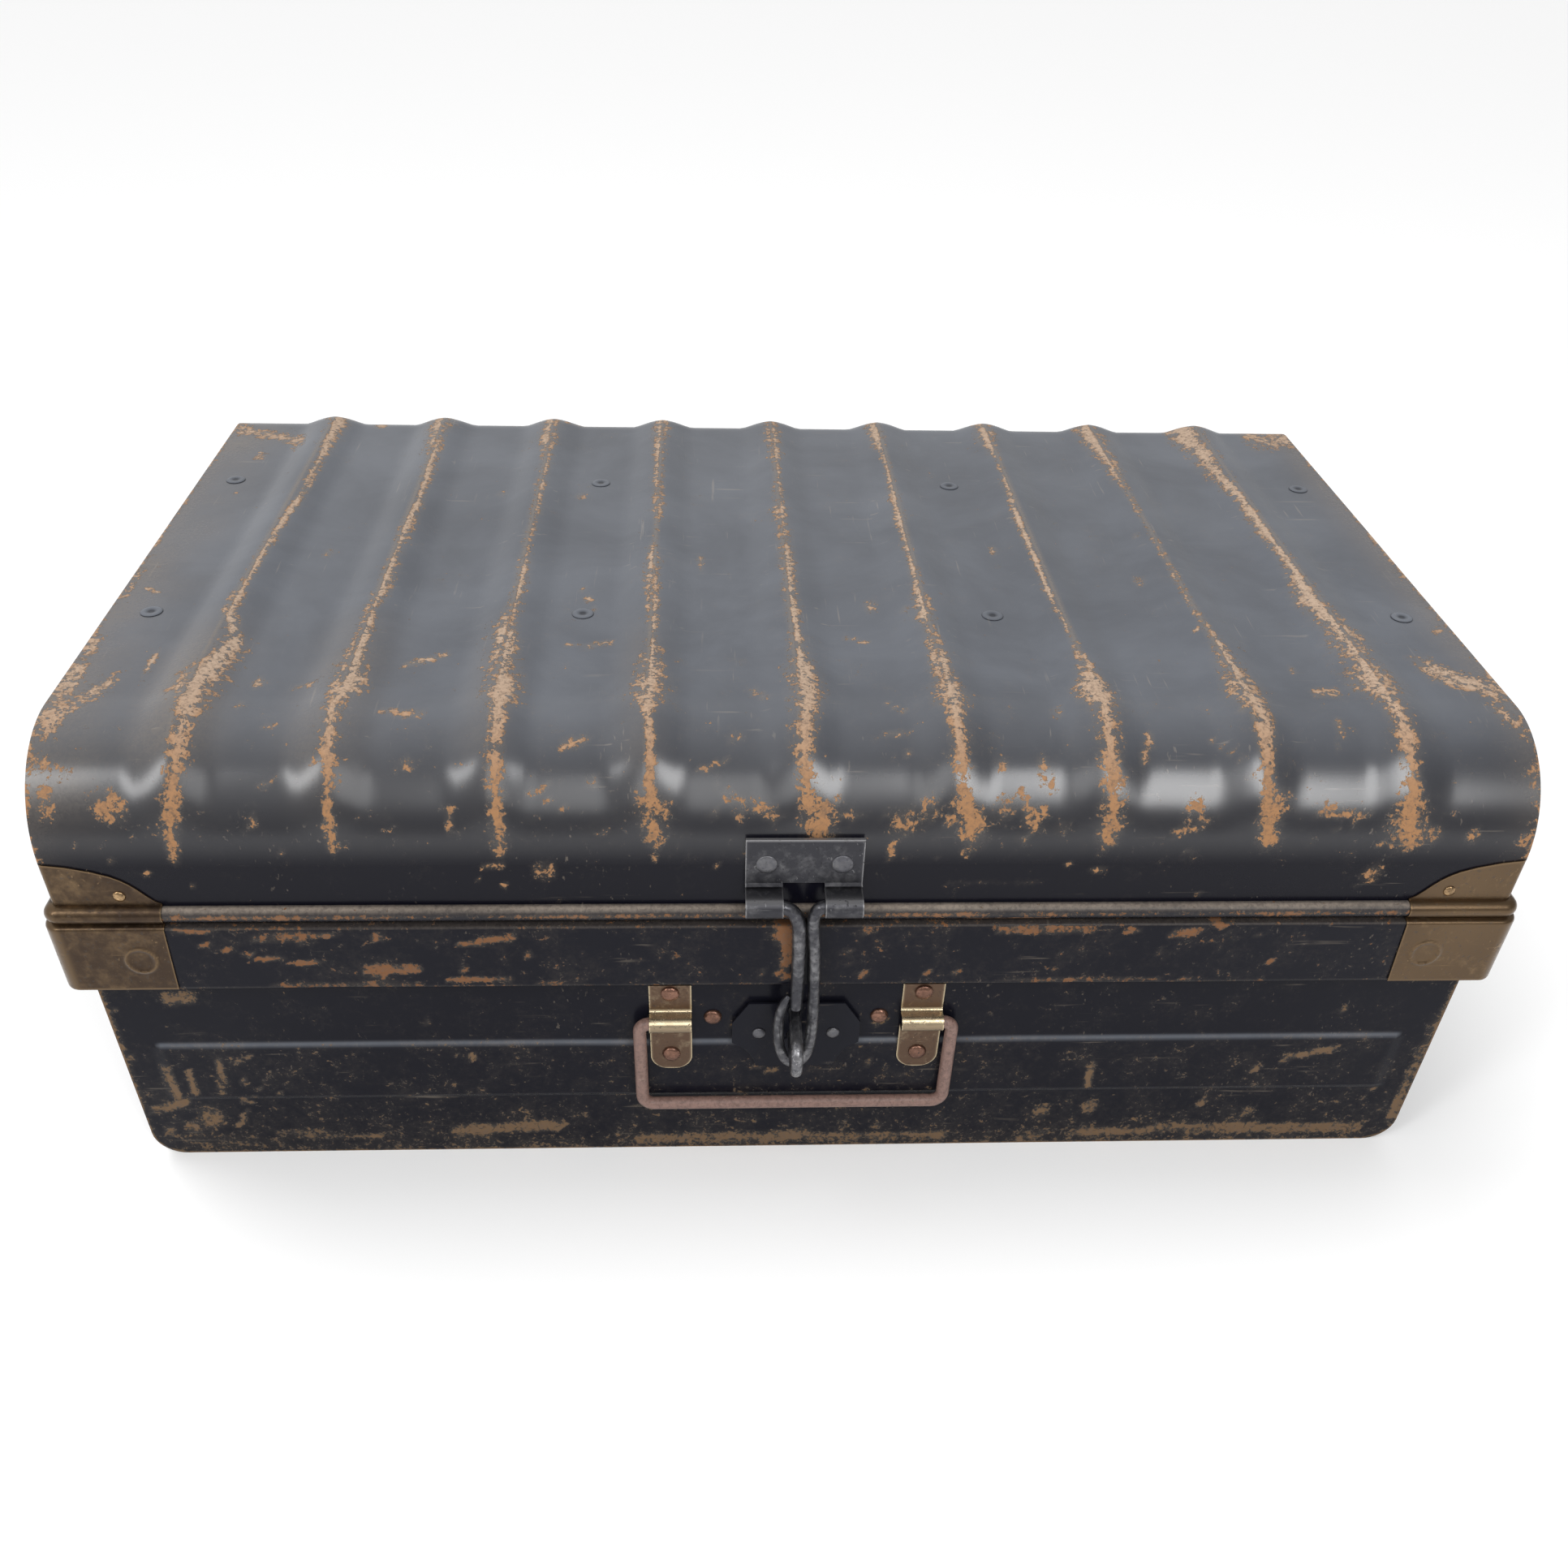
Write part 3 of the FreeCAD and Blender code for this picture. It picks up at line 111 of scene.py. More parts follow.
# Rubbed and chipped marks, each a short stroke: x, run, x, run, half width.
# Runs start at the lid's front lower edge.
LID_MARKS = (
    (-302, 400, -264, 383, 5.1), (-282, 364, -281, 360, 2.7), (-306, 275, -302, 199, 2.0),
    (-296, 204, -289, 201, 1.8), (-302, 152, -299, 87, 4.7), (-285, 120, -297, 92, 5.1),
    (-302, 73, -290, 67, 3.8), (-298, 61, -297, 53, 4.2), (-273, 55, -273, 55, 8.7),
    (-274, 147, -271, 118, 2.1), (-215, 88, -209, 91, 0.9), (-209, 116, -198, 120, 1.7),
    (-227, 102, -227, 102, 2.6), (-224, 120, -224, 120, 2.9), (-167, 135, -149, 144, 1.7),
    (-170, 99, -153, 96, 1.9), (-157, 72, -157, 72, 3.5), (-95, 80, -87, 83, 2.3), (-99, 65, -105, 61, 1.2),
    (-108, 61, -93, 53, 1.0), (-83, 65, -83, 65, 3.2), (-40, 70, -30, 73, 1.6), (-34, 65, -34, 65, 2.0),
    (-26, 84, -26, 84, 2.3), (-19, 115, -13, 107, 2.1), (-141, 53, -141, 53, 2.8),
    (-122, 53, -122, 53, 3.2), (-34, 53, -34, 53, 2.8), (-25, 51, -25, 51, 3.2), (-208, 68, -208, 68, 1.5),
    (-213, 64, -213, 64, 2.3), (-89, 153, -80, 156, 1.3), (-100, 153, -89, 151, 0.9),
    (-95, 206, -89, 186, 1.2), (-40, 239, -39, 223, 1.5), (-103, 311, -103, 311, 2.4),
    (-145, 314, -145, 314, 2.1), (-220, 242, -220, 242, 2.4), (-282, 311, -282, 311, 1.6),
    (-49, 115, -49, 99, 1.1), (282, 401, 303, 399, 6.7), (303, 390, 303, 390, 3.0),
    (303, 233, 304, 219, 2.1), (290, 213, 290, 213, 1.5), (297, 170, 297, 170, 2.9),
    (281, 133, 299, 116, 8.0), (296, 100, 304, 85, 5.0), (301, 69, 304, 52, 2.9), (218, 133, 218, 133, 2.3),
    (222, 114, 231, 114, 2.6), (224, 93, 222, 78, 1.6), (167, 85, 185, 66, 1.0), (184, 95, 184, 95, 1.6),
    (98, 73, 101, 62, 3.2), (82, 71, 82, 71, 3.6), (69, 71, 69, 71, 1.6), (107, 98, 107, 98, 2.7),
    (144, 85, 140, 73, 1.6), (38, 190, 38, 190, 3.3), (23, 161, 36, 154, 1.1), (52, 183, 52, 183, 1.9),
    (105, 250, 105, 250, 2.3), (170, 217, 170, 217, 3.0), (179, 262, 179, 262, 1.6),
    (158, 274, 158, 274, 1.6), (31, 84, 43, 87, 1.0), (44, 77, 44, 77, 1.6), (35, 107, 44, 98, 0.8),
    (42, 49, 42, 49, 6.6), (10, 48, 10, 48, 5.3), (88, 61, 98, 51, 1.6), (107, 46, 107, 46, 2.5),
    (161, 55, 161, 55, 5.8), (211, 52, 235, 52, 1.7), (229, 46, 229, 46, 2.1), (278, 41, 278, 41, 3.4),
    (183, 162, 186, 165, 0.9), (-218, 49, -218, 49, 2.4), (-209, 36, -209, 36, 2.2),
    (-275, 32, -275, 32, 2.2), (-279, 37, -279, 37, 1.3), (-288, 38, -288, 38, 1.3),
    (-263, 26, -263, 26, 1.3), (-247, 19, -247, 19, 1.3), (-249, 38, -249, 38, 2.4),
    (-252, 42, -252, 42, 1.6), (-185, 39, -185, 39, 2.2), (-175, 50, -175, 50, 1.3),
    (-197, 49, -197, 49, 0.9), (-141, 52, -139, 45, 2.1), (-121, 50, -121, 41, 3.5),
    (-129, 28, -121, 29, 1.6), (-121, 19, -121, 19, 2.0), (-106, 27, -103, 27, 4.3),
    (-131, 22, -131, 22, 1.3), (-111, 11, -96, 11, 1.0), (90, 56, 95, 46, 2.3), (91, 41, 91, 41, 2.7),
    (130, 49, 126, 42, 5.0), (154, 44, 165, 47, 2.7), (161, 35, 161, 35, 2.4), (155, 31, 155, 31, 1.4),
    (191, 49, 195, 56, 5.7), (212, 56, 217, 54, 1.3), (220, 44, 220, 44, 2.0), (227, 47, 227, 47, 1.7),
    (212, 40, 212, 40, 1.4), (252, 47, 263, 42, 3.7), (240, 38, 240, 38, 1.7), (279, 42, 279, 42, 3.1),
    (300, 40, 300, 40, 2.8), (301, 49, 301, 49, 2.4), (241, 23, 241, 23, 4.3), (236, 17, 236, 17, 1.7),
    (304, 62, 304, 45, 2.0), (129, 11, 143, 11, 1.0), (169, 12, 169, 12, 1.4), (155, 11, 155, 11, 1.0),
    (109, 29, 130, 24, 0.8), (-64, 59, -56, 55, 5.4), (-63, 47, -63, 47, 2.4), (-80, 44, -80, 44, 1.5),
    (-80, 36, -80, 36, 1.0), (-59, 32, -59, 32, 1.7), (-37, 50, -37, 50, 1.2), (-34, 28, -34, 28, 1.3),
    (-31, 60, -23, 56, 3.0), (-18, 55, -11, 51, 3.2), (-21, 36, -21, 36, 1.2), (9, 52, 22, 51, 2.7),
    (14, 57, 14, 57, 3.4), (35, 52, 35, 52, 2.2), (51, 55, 51, 55, 6.2), (60, 49, 60, 49, 2.5),
    (64, 60, 64, 60, 3.2), (82, 55, 82, 55, 5.7), (93, 53, 99, 53, 2.2), (68, 35, 68, 35, 2.8),
    (37, 39, 38, 32, 1.9), (45, 32, 45, 32, 1.5), (57, 31, 57, 31, 1.3), (47, 43, 47, 43, 1.0),
    (62, 18, 101, 18, 0.9),
)

# The same on the front of the skirt and of the body, by height above the floor.
SKIRT_MARKS = (
    (-227, 143, -193, 144, 1.5), (-207, 141, -207, 141, 1.7), (-175, 143, -175, 143, 2.4),
    (-249, 140, -225, 133, 0.8), (-230, 133, -199, 128, 1.0), (-209, 129, -209, 129, 1.4),
    (-181, 125, -161, 125, 2.4), (-177, 121, -177, 121, 2.1), (-142, 139, -120, 143, 1.7),
    (-142, 125, -142, 125, 2.1), (-148, 119, -122, 118, 1.4), (-225, 116, -160, 116, 0.7),
    (-112, 116, -100, 116, 0.7), (-113, 133, -113, 133, 2.1), (-258, 148, -233, 146, 0.7),
    (85, 146, 125, 146, 2.1), (143, 145, 143, 145, 2.5), (161, 143, 171, 144, 1.8),
    (175, 150, 187, 145, 1.1), (158, 133, 158, 133, 1.6), (199, 142, 199, 142, 1.4),
    (207, 127, 207, 127, 1.4), (89, 117, 161, 117, 0.5), (168, 117, 189, 118, 0.7),
    (206, 117, 206, 117, 0.7), (29, 146, 29, 146, 2.3), (22, 135, 22, 135, 1.6), (29, 121, 29, 121, 2.4),
    (-13, 123, -13, 123, 2.0), (-15, 133, -15, 133, 0.8), (58, 122, 58, 122, 1.3), (70, 121, 70, 121, 1.3),
    (-46, 126, -46, 126, 0.8), (22, 127, 22, 127, 1.3), (-72, 135, -72, 135, 0.8), (-6, 147, -4, 138, 3.6),
    (-3, 134, -5, 126, 3.0), (-7, 122, -3, 119, 2.4), (72, 150, 106, 150, 1.3), (97, 145, 97, 145, 1.6),
)
BODY_MARKS = (
    (-274, 101, -264, 101, 2.8), (-299, 94, -299, 94, 1.4), (-300, 74, -300, 74, 1.4),
    (-298, 65, -298, 65, 1.4), (-285, 59, -283, 40, 2.2), (-275, 57, -275, 43, 1.8),
    (-260, 64, -262, 42, 1.6), (-251, 63, -244, 67, 1.1), (-237, 64, -237, 64, 1.1),
    (-297, 30, -281, 35, 2.2), (-272, 24, -272, 24, 6.6), (-281, 18, -281, 18, 3.8),
    (-293, 15, -293, 15, 3.0), (-251, 51, -258, 18, 0.7), (-261, 18, -240, 53, 0.8),
    (-236, 42, -236, 42, 1.3), (-164, 86, -164, 86, 1.8), (-146, 65, -146, 65, 2.2),
    (-244, 12, -194, 11, 1.5), (-158, 13, -109, 16, 3.5), (300, 91, 299, 48, 1.5), (299, 48, 298, 15, 1.6),
    (233, 58, 256, 65, 1.9), (221, 52, 221, 52, 2.3), (116, 59, 116, 59, 1.0), (142, 56, 143, 40, 1.0),
    (165, 50, 165, 50, 1.0), (124, 23, 124, 23, 4.0), (147, 25, 147, 25, 4.4), (226, 21, 226, 21, 3.2),
    (201, 27, 201, 27, 2.0), (180, 10, 283, 8, 3.2), (144, 8, 181, 7, 2.0), (284, 37, 278, 25, 0.6),
    (253, 89, 253, 89, 1.9), (-40, 99, -26, 99, 0.9), (-26, 83, -26, 83, 2.1), (40, 85, 40, 85, 2.8),
    (55, 96, 60, 97, 0.8), (-17, 58, -7, 53, 1.3), (37, 59, 37, 59, 2.0), (53, 50, 53, 50, 1.7),
    (37, 40, 37, 40, 2.0), (57, 61, 57, 61, 1.4), (-70, 6, 9, 7, 3.3), (9, 6, 77, 6, 2.1),
    (-12, 9, -6, 7, 0.9), (44, 13, 44, 13, 2.2),
)

# Values along the lid sheet, as runs in millimetres from its front lower edge and the value at each.
LID_WEAR = ((0, 40, 75, 110, 180, 400), (0.06, 0.16, 0.17, 0.14, 0.12, 0.12))
LID_STRETCH = ((0, 30, 66, 104, 250, 400), (1.25, 1.25, 1.05, 1.8, 2.3, 2.8))
# The next table's bloom is partly painted sheen: it lightens the lid's top and upper bend and fades down the
# front.
LID_BLOOM_AND_SHEEN = ((36, 52, 66, 80, 96, 130, 300, 420), (0, 0.01, 0.07, 0.21, 0.33, 0.41, 0.40, 0.40))
LID_POLISH = ((0, 30, 50, 82, 112, 150, 420, 450), (0.03, 0.06, 0.90, 0.80, 0.20, 0.12, 0.12, 0.05))
# Along the ribs' crests, a thin pale line of film: partly rubbed film, partly a painted highlight.
CREST_SHEEN_AND_FILM = ((40, 90, 420, 440), (0, 1, 1, 0))
SHOULDER_FILM = ((40, 62, 80, 135, 190), (0, 0.35, 1, 1, 0))
LEFT_FILM = ((30, 60, 160, 330, 400, 430), (0, 1, 0.8, 0.5, 1.2, 0))
# The film beside the ribs on the left, where they turn over the front: x, half width, strength.
RIB_FILM = ((-250, 17, 0.62), (-187.5, 15, 0.50), (-125, 9, 0.30), (-62.5, 9, 0.30))
# Least wear by height above the floor, on the body's front and on its ends.
PANEL_WEAR = ((0, 5, 14, 30, 70, 76, 120), (0.38, 0.36, 0.28, 0.24, 0.22, 0.17, 0.15))
END_WEAR = ((0, 10, 40, 120), (0.34, 0.26, 0.13, 0.05))
# Height of the lid's outline at its ends, by y.
LID_OUTLINE = ((-184, -160, -137, 166, 178, 184), (178, 213, 224, 224, 217, 206))

# Lights that the glossy bend mirrors: name, place, width and power.
WINDOWS = (("right_window", (0.74, -1.42, 1.44), 0.66, 16.0),
           ("middle_window", (-0.16, -1.60, 1.40), 0.60, 4.5),
           ("left_window", (-1.40, -1.30, 1.47), 0.44, 10.5))
WINDOW_HEIGHT = 1.35
WINDOW_AIM = (0.0, -0.15, 0.20)

LID_ROWS, LID_COLUMNS = 156, 190
BEAD_POINTS = 15
END_ROWS, END_COLUMNS = 40, 90
PANEL_ROWS, PANEL_COLUMNS = 48, 206


# Sizes and colours

def length(label, words, value):
    """A length in metres that a user may change."""
    return bpy.props.FloatProperty(name=label, description=words, default=value, unit="LENGTH", precision=4)


def paint(label, words, value):
    """A colour that a user may change."""
    return bpy.props.FloatVectorProperty(name=label, description=words, default=value, size=3,
                                         subtype="COLOR", min=0.0, max=1.0)


class TrunkSizes(bpy.types.PropertyGroup):
    """Sizes of the sheet work."""
    sheet: length("Sheet", "Thickness of the lid and body sheet", 0.0008)
    front_bend: length("Front bend", "Radius of the lid's front bend", 0.047)
    rear_bend: length("Rear bend", "Radius of the lid's rear bend", 0.018)
    rib_count: bpy.props.IntProperty(name="Ribs", description="Number of ribs pressed in the lid", default=9,
                                     min=1)
    rib_pitch: length("Rib pitch", "Distance from one rib to the next", 0.0625)
    rib_width: length("Rib width", "Width of a rib at the sheet", 0.034)
    rib_height: length("Rib height", "Height of a rib above the sheet", 0.0045)
    rib_sink: length("Rib sink", "How far a rib sinks round a bend of a quarter turn", 0.0068)
    rib_crease: length("Rib crease", "Height of the fine crease along a rib's crest", 0.00012)
    dent_depth: length("Dent depth", "Depth of the slow dents in the sheets", 0.0004)
    bead_radius: length("Bead radius", "Radius of the bead round the lid", 0.0036)
    bead_height: length("Bead height", "Height of the bead's centre above the floor", 0.1530)
    ledge_height: length("Ledge height", "Height of the ledge over the skirt", 0.1485)
    skirt_reach: length("Skirt reach", "How far the skirt stands out from the lid's wall", 0.0054)
    cap_leaf: length("Cap leaf", "Length of a corner cap along each wall", 0.044)
    cap_sheet: length("Cap sheet", "Thickness of a corner cap", 0.0006)
    cap_top: length("Cap top", "Height of a corner cap at its corner", 0.178)
    cap_shoulder: length("Cap shoulder", "Height of a corner cap where its edge turns down", 0.1715)
    body_corner: length("Body corner", "Radius of the body's lower corners", 0.014)
    band_low: length("Band low", "Lower edge of the raised band", 0.0385)
    band_high: length("Band high", "Upper edge of the raised band", 0.0725)
    band_proud: length("Band proud", "How far the band stands out", 0.0012)


class TrunkColours(bpy.types.PropertyGroup):
    """Colours of the finishes."""
    enamel: paint("Enamel", "The black paint", (0.0042, 0.0041, 0.0078))
    # The bloom share on the meshes is partly a real chalky bloom and partly painted sheen: it lightens the
    # faces that look up, the band's upper edge, the bead and the tops of the lid's rivets.
    bloom_and_sheen: paint("Haze", "The chalky bloom on the paint's upper faces", (0.243, 0.262, 0.298))
    film: paint("Film", "The grey-brown rubbed film round chips and on the bead", (0.270, 0.225, 0.185))
    primer: paint("Primer", "The coat that shows where the lid's paint is chipped", (0.310, 0.162, 0.076))
    # The paler primer stands for dust and, in part, for painted light on the lid's upward faces.
    dust_and_sheen: paint("Dusty primer", "The same coat on the lid's top, paler with dust", (0.430, 0.325, 0.245))
    rust: paint("Rust", "The rust that shows on the skirt", (0.158, 0.070, 0.030))
    stain: paint("Stain", "The olive brown that shows low on the body", (0.130, 0.080, 0.044))
    rubbed: paint("Rubbed metal", "Old dirty metal inside a chip", (0.110, 0.082, 0.064))
    flake: paint("Flake edge", "The pale broken edge of the paint", (0.420, 0.350, 0.270))
    inside: paint("Inside", "The dull coat inside the trunk", (0.210, 0.150, 0.095))
    brass: paint("Brass", "Brass where it is rubbed bright", (0.275, 0.180, 0.092))
    brass_dark: paint("Tarnish", "Brass where it has gone brown", (0.044, 0.028, 0.018))
    pale_brass: paint("Clip brass", "The paler brass of the handle's clips", (0.700, 0.580, 0.380))
    clip_dark: paint("Clip tarnish", "The clips' brass where it has gone brown", (0.105, 0.065, 0.043))
    steel: paint("Steel", "Steel where it is rubbed bright", (0.360, 0.355, 0.360))
    steel_dark: paint("Dark steel", "Steel with old black scale", (0.040, 0.040, 0.046))
    handle: paint("Handle", "The brown paint of the handle", (0.212, 0.130, 0.108))
    copper: paint("Copper", "The rivets", (0.290, 0.150, 0.104))


# Nodes

def put(tree, kind, inputs=None, **settings):
    """Adds one node, with its settings, and fills or links its inputs by name or place."""
    node = tree.nodes.new(kind)
    for key, value in settings.items():
        setattr(node, key, value)
    for key, value in (inputs or {}).items():
        if isinstance(value, bpy.types.NodeSocket):
            tree.links.new(value, node.inputs[key])
        else:
            node.inputs[key].default_value = value
    return node


def sums(tree, operation, *values, clamp=False):
    """One step of arithmetic."""
    node = put(tree, "ShaderNodeMath", dict(enumerate(values)), operation=operation, use_clamp=clamp)
    return node.outputs[0]


def spread(tree, value, low, high, to_low=0.0, to_high=1.0):
    """Carries a value smoothly from one range to another."""
    node = put(tree, "ShaderNodeMapRange", {0: value, 1: low, 2: high, 3: to_low, 4: to_high},
               interpolation_type="SMOOTHSTEP")
    return node.outputs[0]


def mixed(tree, share, first, second):
    """Mixes two colours."""
    node = put(tree, "ShaderNodeMix", {0: share, 6: first, 7: second}, data_type="RGBA")
    return node.outputs[2]


def grain(tree, place, scale, detail=4.0, roughness=0.55, distortion=0.0):
    """A noise value at a place, with its scale in lumps per metre."""
    node = put(tree, "ShaderNodeTexNoise", {"Vector": place, "Scale": scale, "Detail": detail,
                                            "Roughness": roughness, "Distortion": distortion})
    return node.outputs["Fac"]


def solid(colour, share=1.0):
    """A colour with its alpha, made darker or lighter by a share."""
    return (*shaded(colour, share), 1.0)


def shaded(colour, share):
    """A colour made darker or lighter by a share."""
    return [part * share for part in colour]


def new_group(name, inputs, outputs):
    """A shader node group with named number inputs and outputs, and its two end nodes."""
    tree = bpy.data.node_groups.new(name, "ShaderNodeTree")
    for label, value in inputs:
        tree.interface.new_socket(label, in_out="INPUT", socket_type="NodeSocketFloat").default_value = value
    for label in outputs:
        tree.interface.new_socket(label, in_out="OUTPUT", socket_type="NodeSocketFloat")
    return tree, tree.nodes.new("NodeGroupInput"), tree.nodes.new("NodeGroupOutput")


def own_place(tree, size):
    """The object's own coordinates, scaled by a size."""
    place = put(tree, "ShaderNodeTexCoord").outputs["Object"]
    return put(tree, "ShaderNodeVectorMath", {0: place, 3: size}, operation="SCALE").outputs[0]


def chipped_paint():
    """Ragged chips: a wear value from 0 to 1 decides where the paint is gone, and where only rubbed."""
    tree, given, made = new_group("chipped_paint", (("Wear", 0.0), ("Size", 1.0)),
                                  ("Bare", "Edge", "Film", "Mottle", "Depth"))
    scaled = own_place(tree, given.outputs["Size"])
    slow = grain(tree, scaled, scale=36.0, detail=2.0)
    flaky = grain(tree, scaled, scale=170.0, detail=9.0, roughness=0.68, distortion=0.5)
    fine = grain(tree, scaled, scale=900.0, detail=4.0, roughness=0.6)
    # Paint breaks away in small flakes: each cell of a warped pattern goes, or stays, as one.
    warp = put(tree, "ShaderNodeTexNoise", {"Vector": scaled, "Scale": 420.0, "Detail": 3.0}).outputs["Color"]
    warped = put(tree, "ShaderNodeVectorMath", {0: warp, 1: (0.0030, 0.0030, 0.0030), 2: scaled},
                 operation="MULTIPLY_ADD").outputs[0]
    cells = put(tree, "ShaderNodeTexVoronoi", {"Vector": warped, "Scale": 520.0}).outputs["Position"]
    flakes = put(tree, "ShaderNodeTexWhiteNoise", {"Vector": cells}).outputs["Value"]
    ragged = sums(tree, "MULTIPLY_ADD", sums(tree, "SUBTRACT", flaky, 0.5), 1.45,
                  sums(tree, "MULTIPLY_ADD", sums(tree, "SUBTRACT", fine, 0.5), 0.28,
                       sums(tree, "MULTIPLY", sums(tree, "SUBTRACT", flakes, 0.5), 0.20)))
    gathered = sums(tree, "MULTIPLY", sums(tree, "SUBTRACT", slow, 0.5), 0.45)
    level = sums(tree, "ADD", sums(tree, "ADD", given.outputs["Wear"], gathered), ragged)
    bare = spread(tree, level, 0.490, 0.515)
    edge = sums(tree, "MULTIPLY", spread(tree, level, 0.43, 0.49), sums(tree, "SUBTRACT", 1.0, bare),
                clamp=True)
    film = sums(tree, "MULTIPLY_ADD", ragged, 0.35, sums(tree, "ADD", given.outputs["Wear"], gathered))
    tree.links.new(bare, made.inputs["Bare"])
    tree.links.new(edge, made.inputs["Edge"])
    tree.links.new(spread(tree, film, 0.14, 0.72), made.inputs["Film"])
    mottle = grain(tree, scaled, scale=330.0, detail=8.0, roughness=0.75, distortion=0.6)
    tree.links.new(mottle, made.inputs["Mottle"])
    tree.links.new(sums(tree, "MULTIPLY_ADD", bare, -1.0, sums(tree, "MULTIPLY", edge, 0.35)),
                   made.inputs["Depth"])
    return tree


def old_surface():
    """Slow blotches, hairline scuffs and fine grit for any old surface."""
    tree, given, made = new_group("old_surface", (("Size", 1.0),), ("Blotch", "Scuff", "Grit"))
    scaled = own_place(tree, given.outputs["Size"])
    blotch = grain(tree, scaled, scale=14.0, detail=5.0, roughness=0.6, distortion=0.4)
    tree.links.new(blotch, made.inputs["Blotch"])
    hair = None
    for turn, stretch in ((0.5, (22.0, 420.0, 420.0)), (-0.9, (520.0, 26.0, 300.0))):
        lie = put(tree, "ShaderNodeMapping", {"Vector": scaled, "Rotation": (0.1, turn * 0.4, turn),
                                              "Scale": stretch}).outputs[0]
        lines = spread(tree, grain(tree, lie, scale=1.0, detail=2.0, roughness=0.5), 0.66, 0.74)
        hair = lines if hair is None else sums(tree, "MAXIMUM", hair, lines)
    patch = spread(tree, grain(tree, scaled, scale=30.0, detail=2.0), 0.48, 0.66)
    tree.links.new(sums(tree, "MULTIPLY", hair, patch), made.inputs["Scuff"])
    tree.links.new(grain(tree, scaled, scale=900.0, detail=3.0, roughness=0.6), made.inputs["Grit"])
    return tree


def placed(tree, group, values):
    """Places a node group in a material, with its own values."""
    return put(tree, "ShaderNodeGroup", values, node_tree=group)


def new_material(name, **constants):
    """A material with one Principled shader, whose even values are set on its own sockets."""
    material = bpy.data.materials.new(name)
    material.use_nodes = True
    tree = material.node_tree
    shader = tree.nodes["Principled BSDF"]
    for label, value in constants.items():
        shader.inputs[label.replace("_", " ")].default_value = value
    return material, tree, shader


def attribute(tree, name):
    """A number stored on the mesh."""
    return put(tree, "ShaderNodeAttribute", None, attribute_name=name).outputs["Fac"]


def relief(tree, shader, height, distance):
    """Joins a height to the shader's normal."""
    bump = put(tree, "ShaderNodeBump", {"Height": height, "Distance": distance})
    tree.links.new(bump.outputs["Normal"], shader.inputs["Normal"])


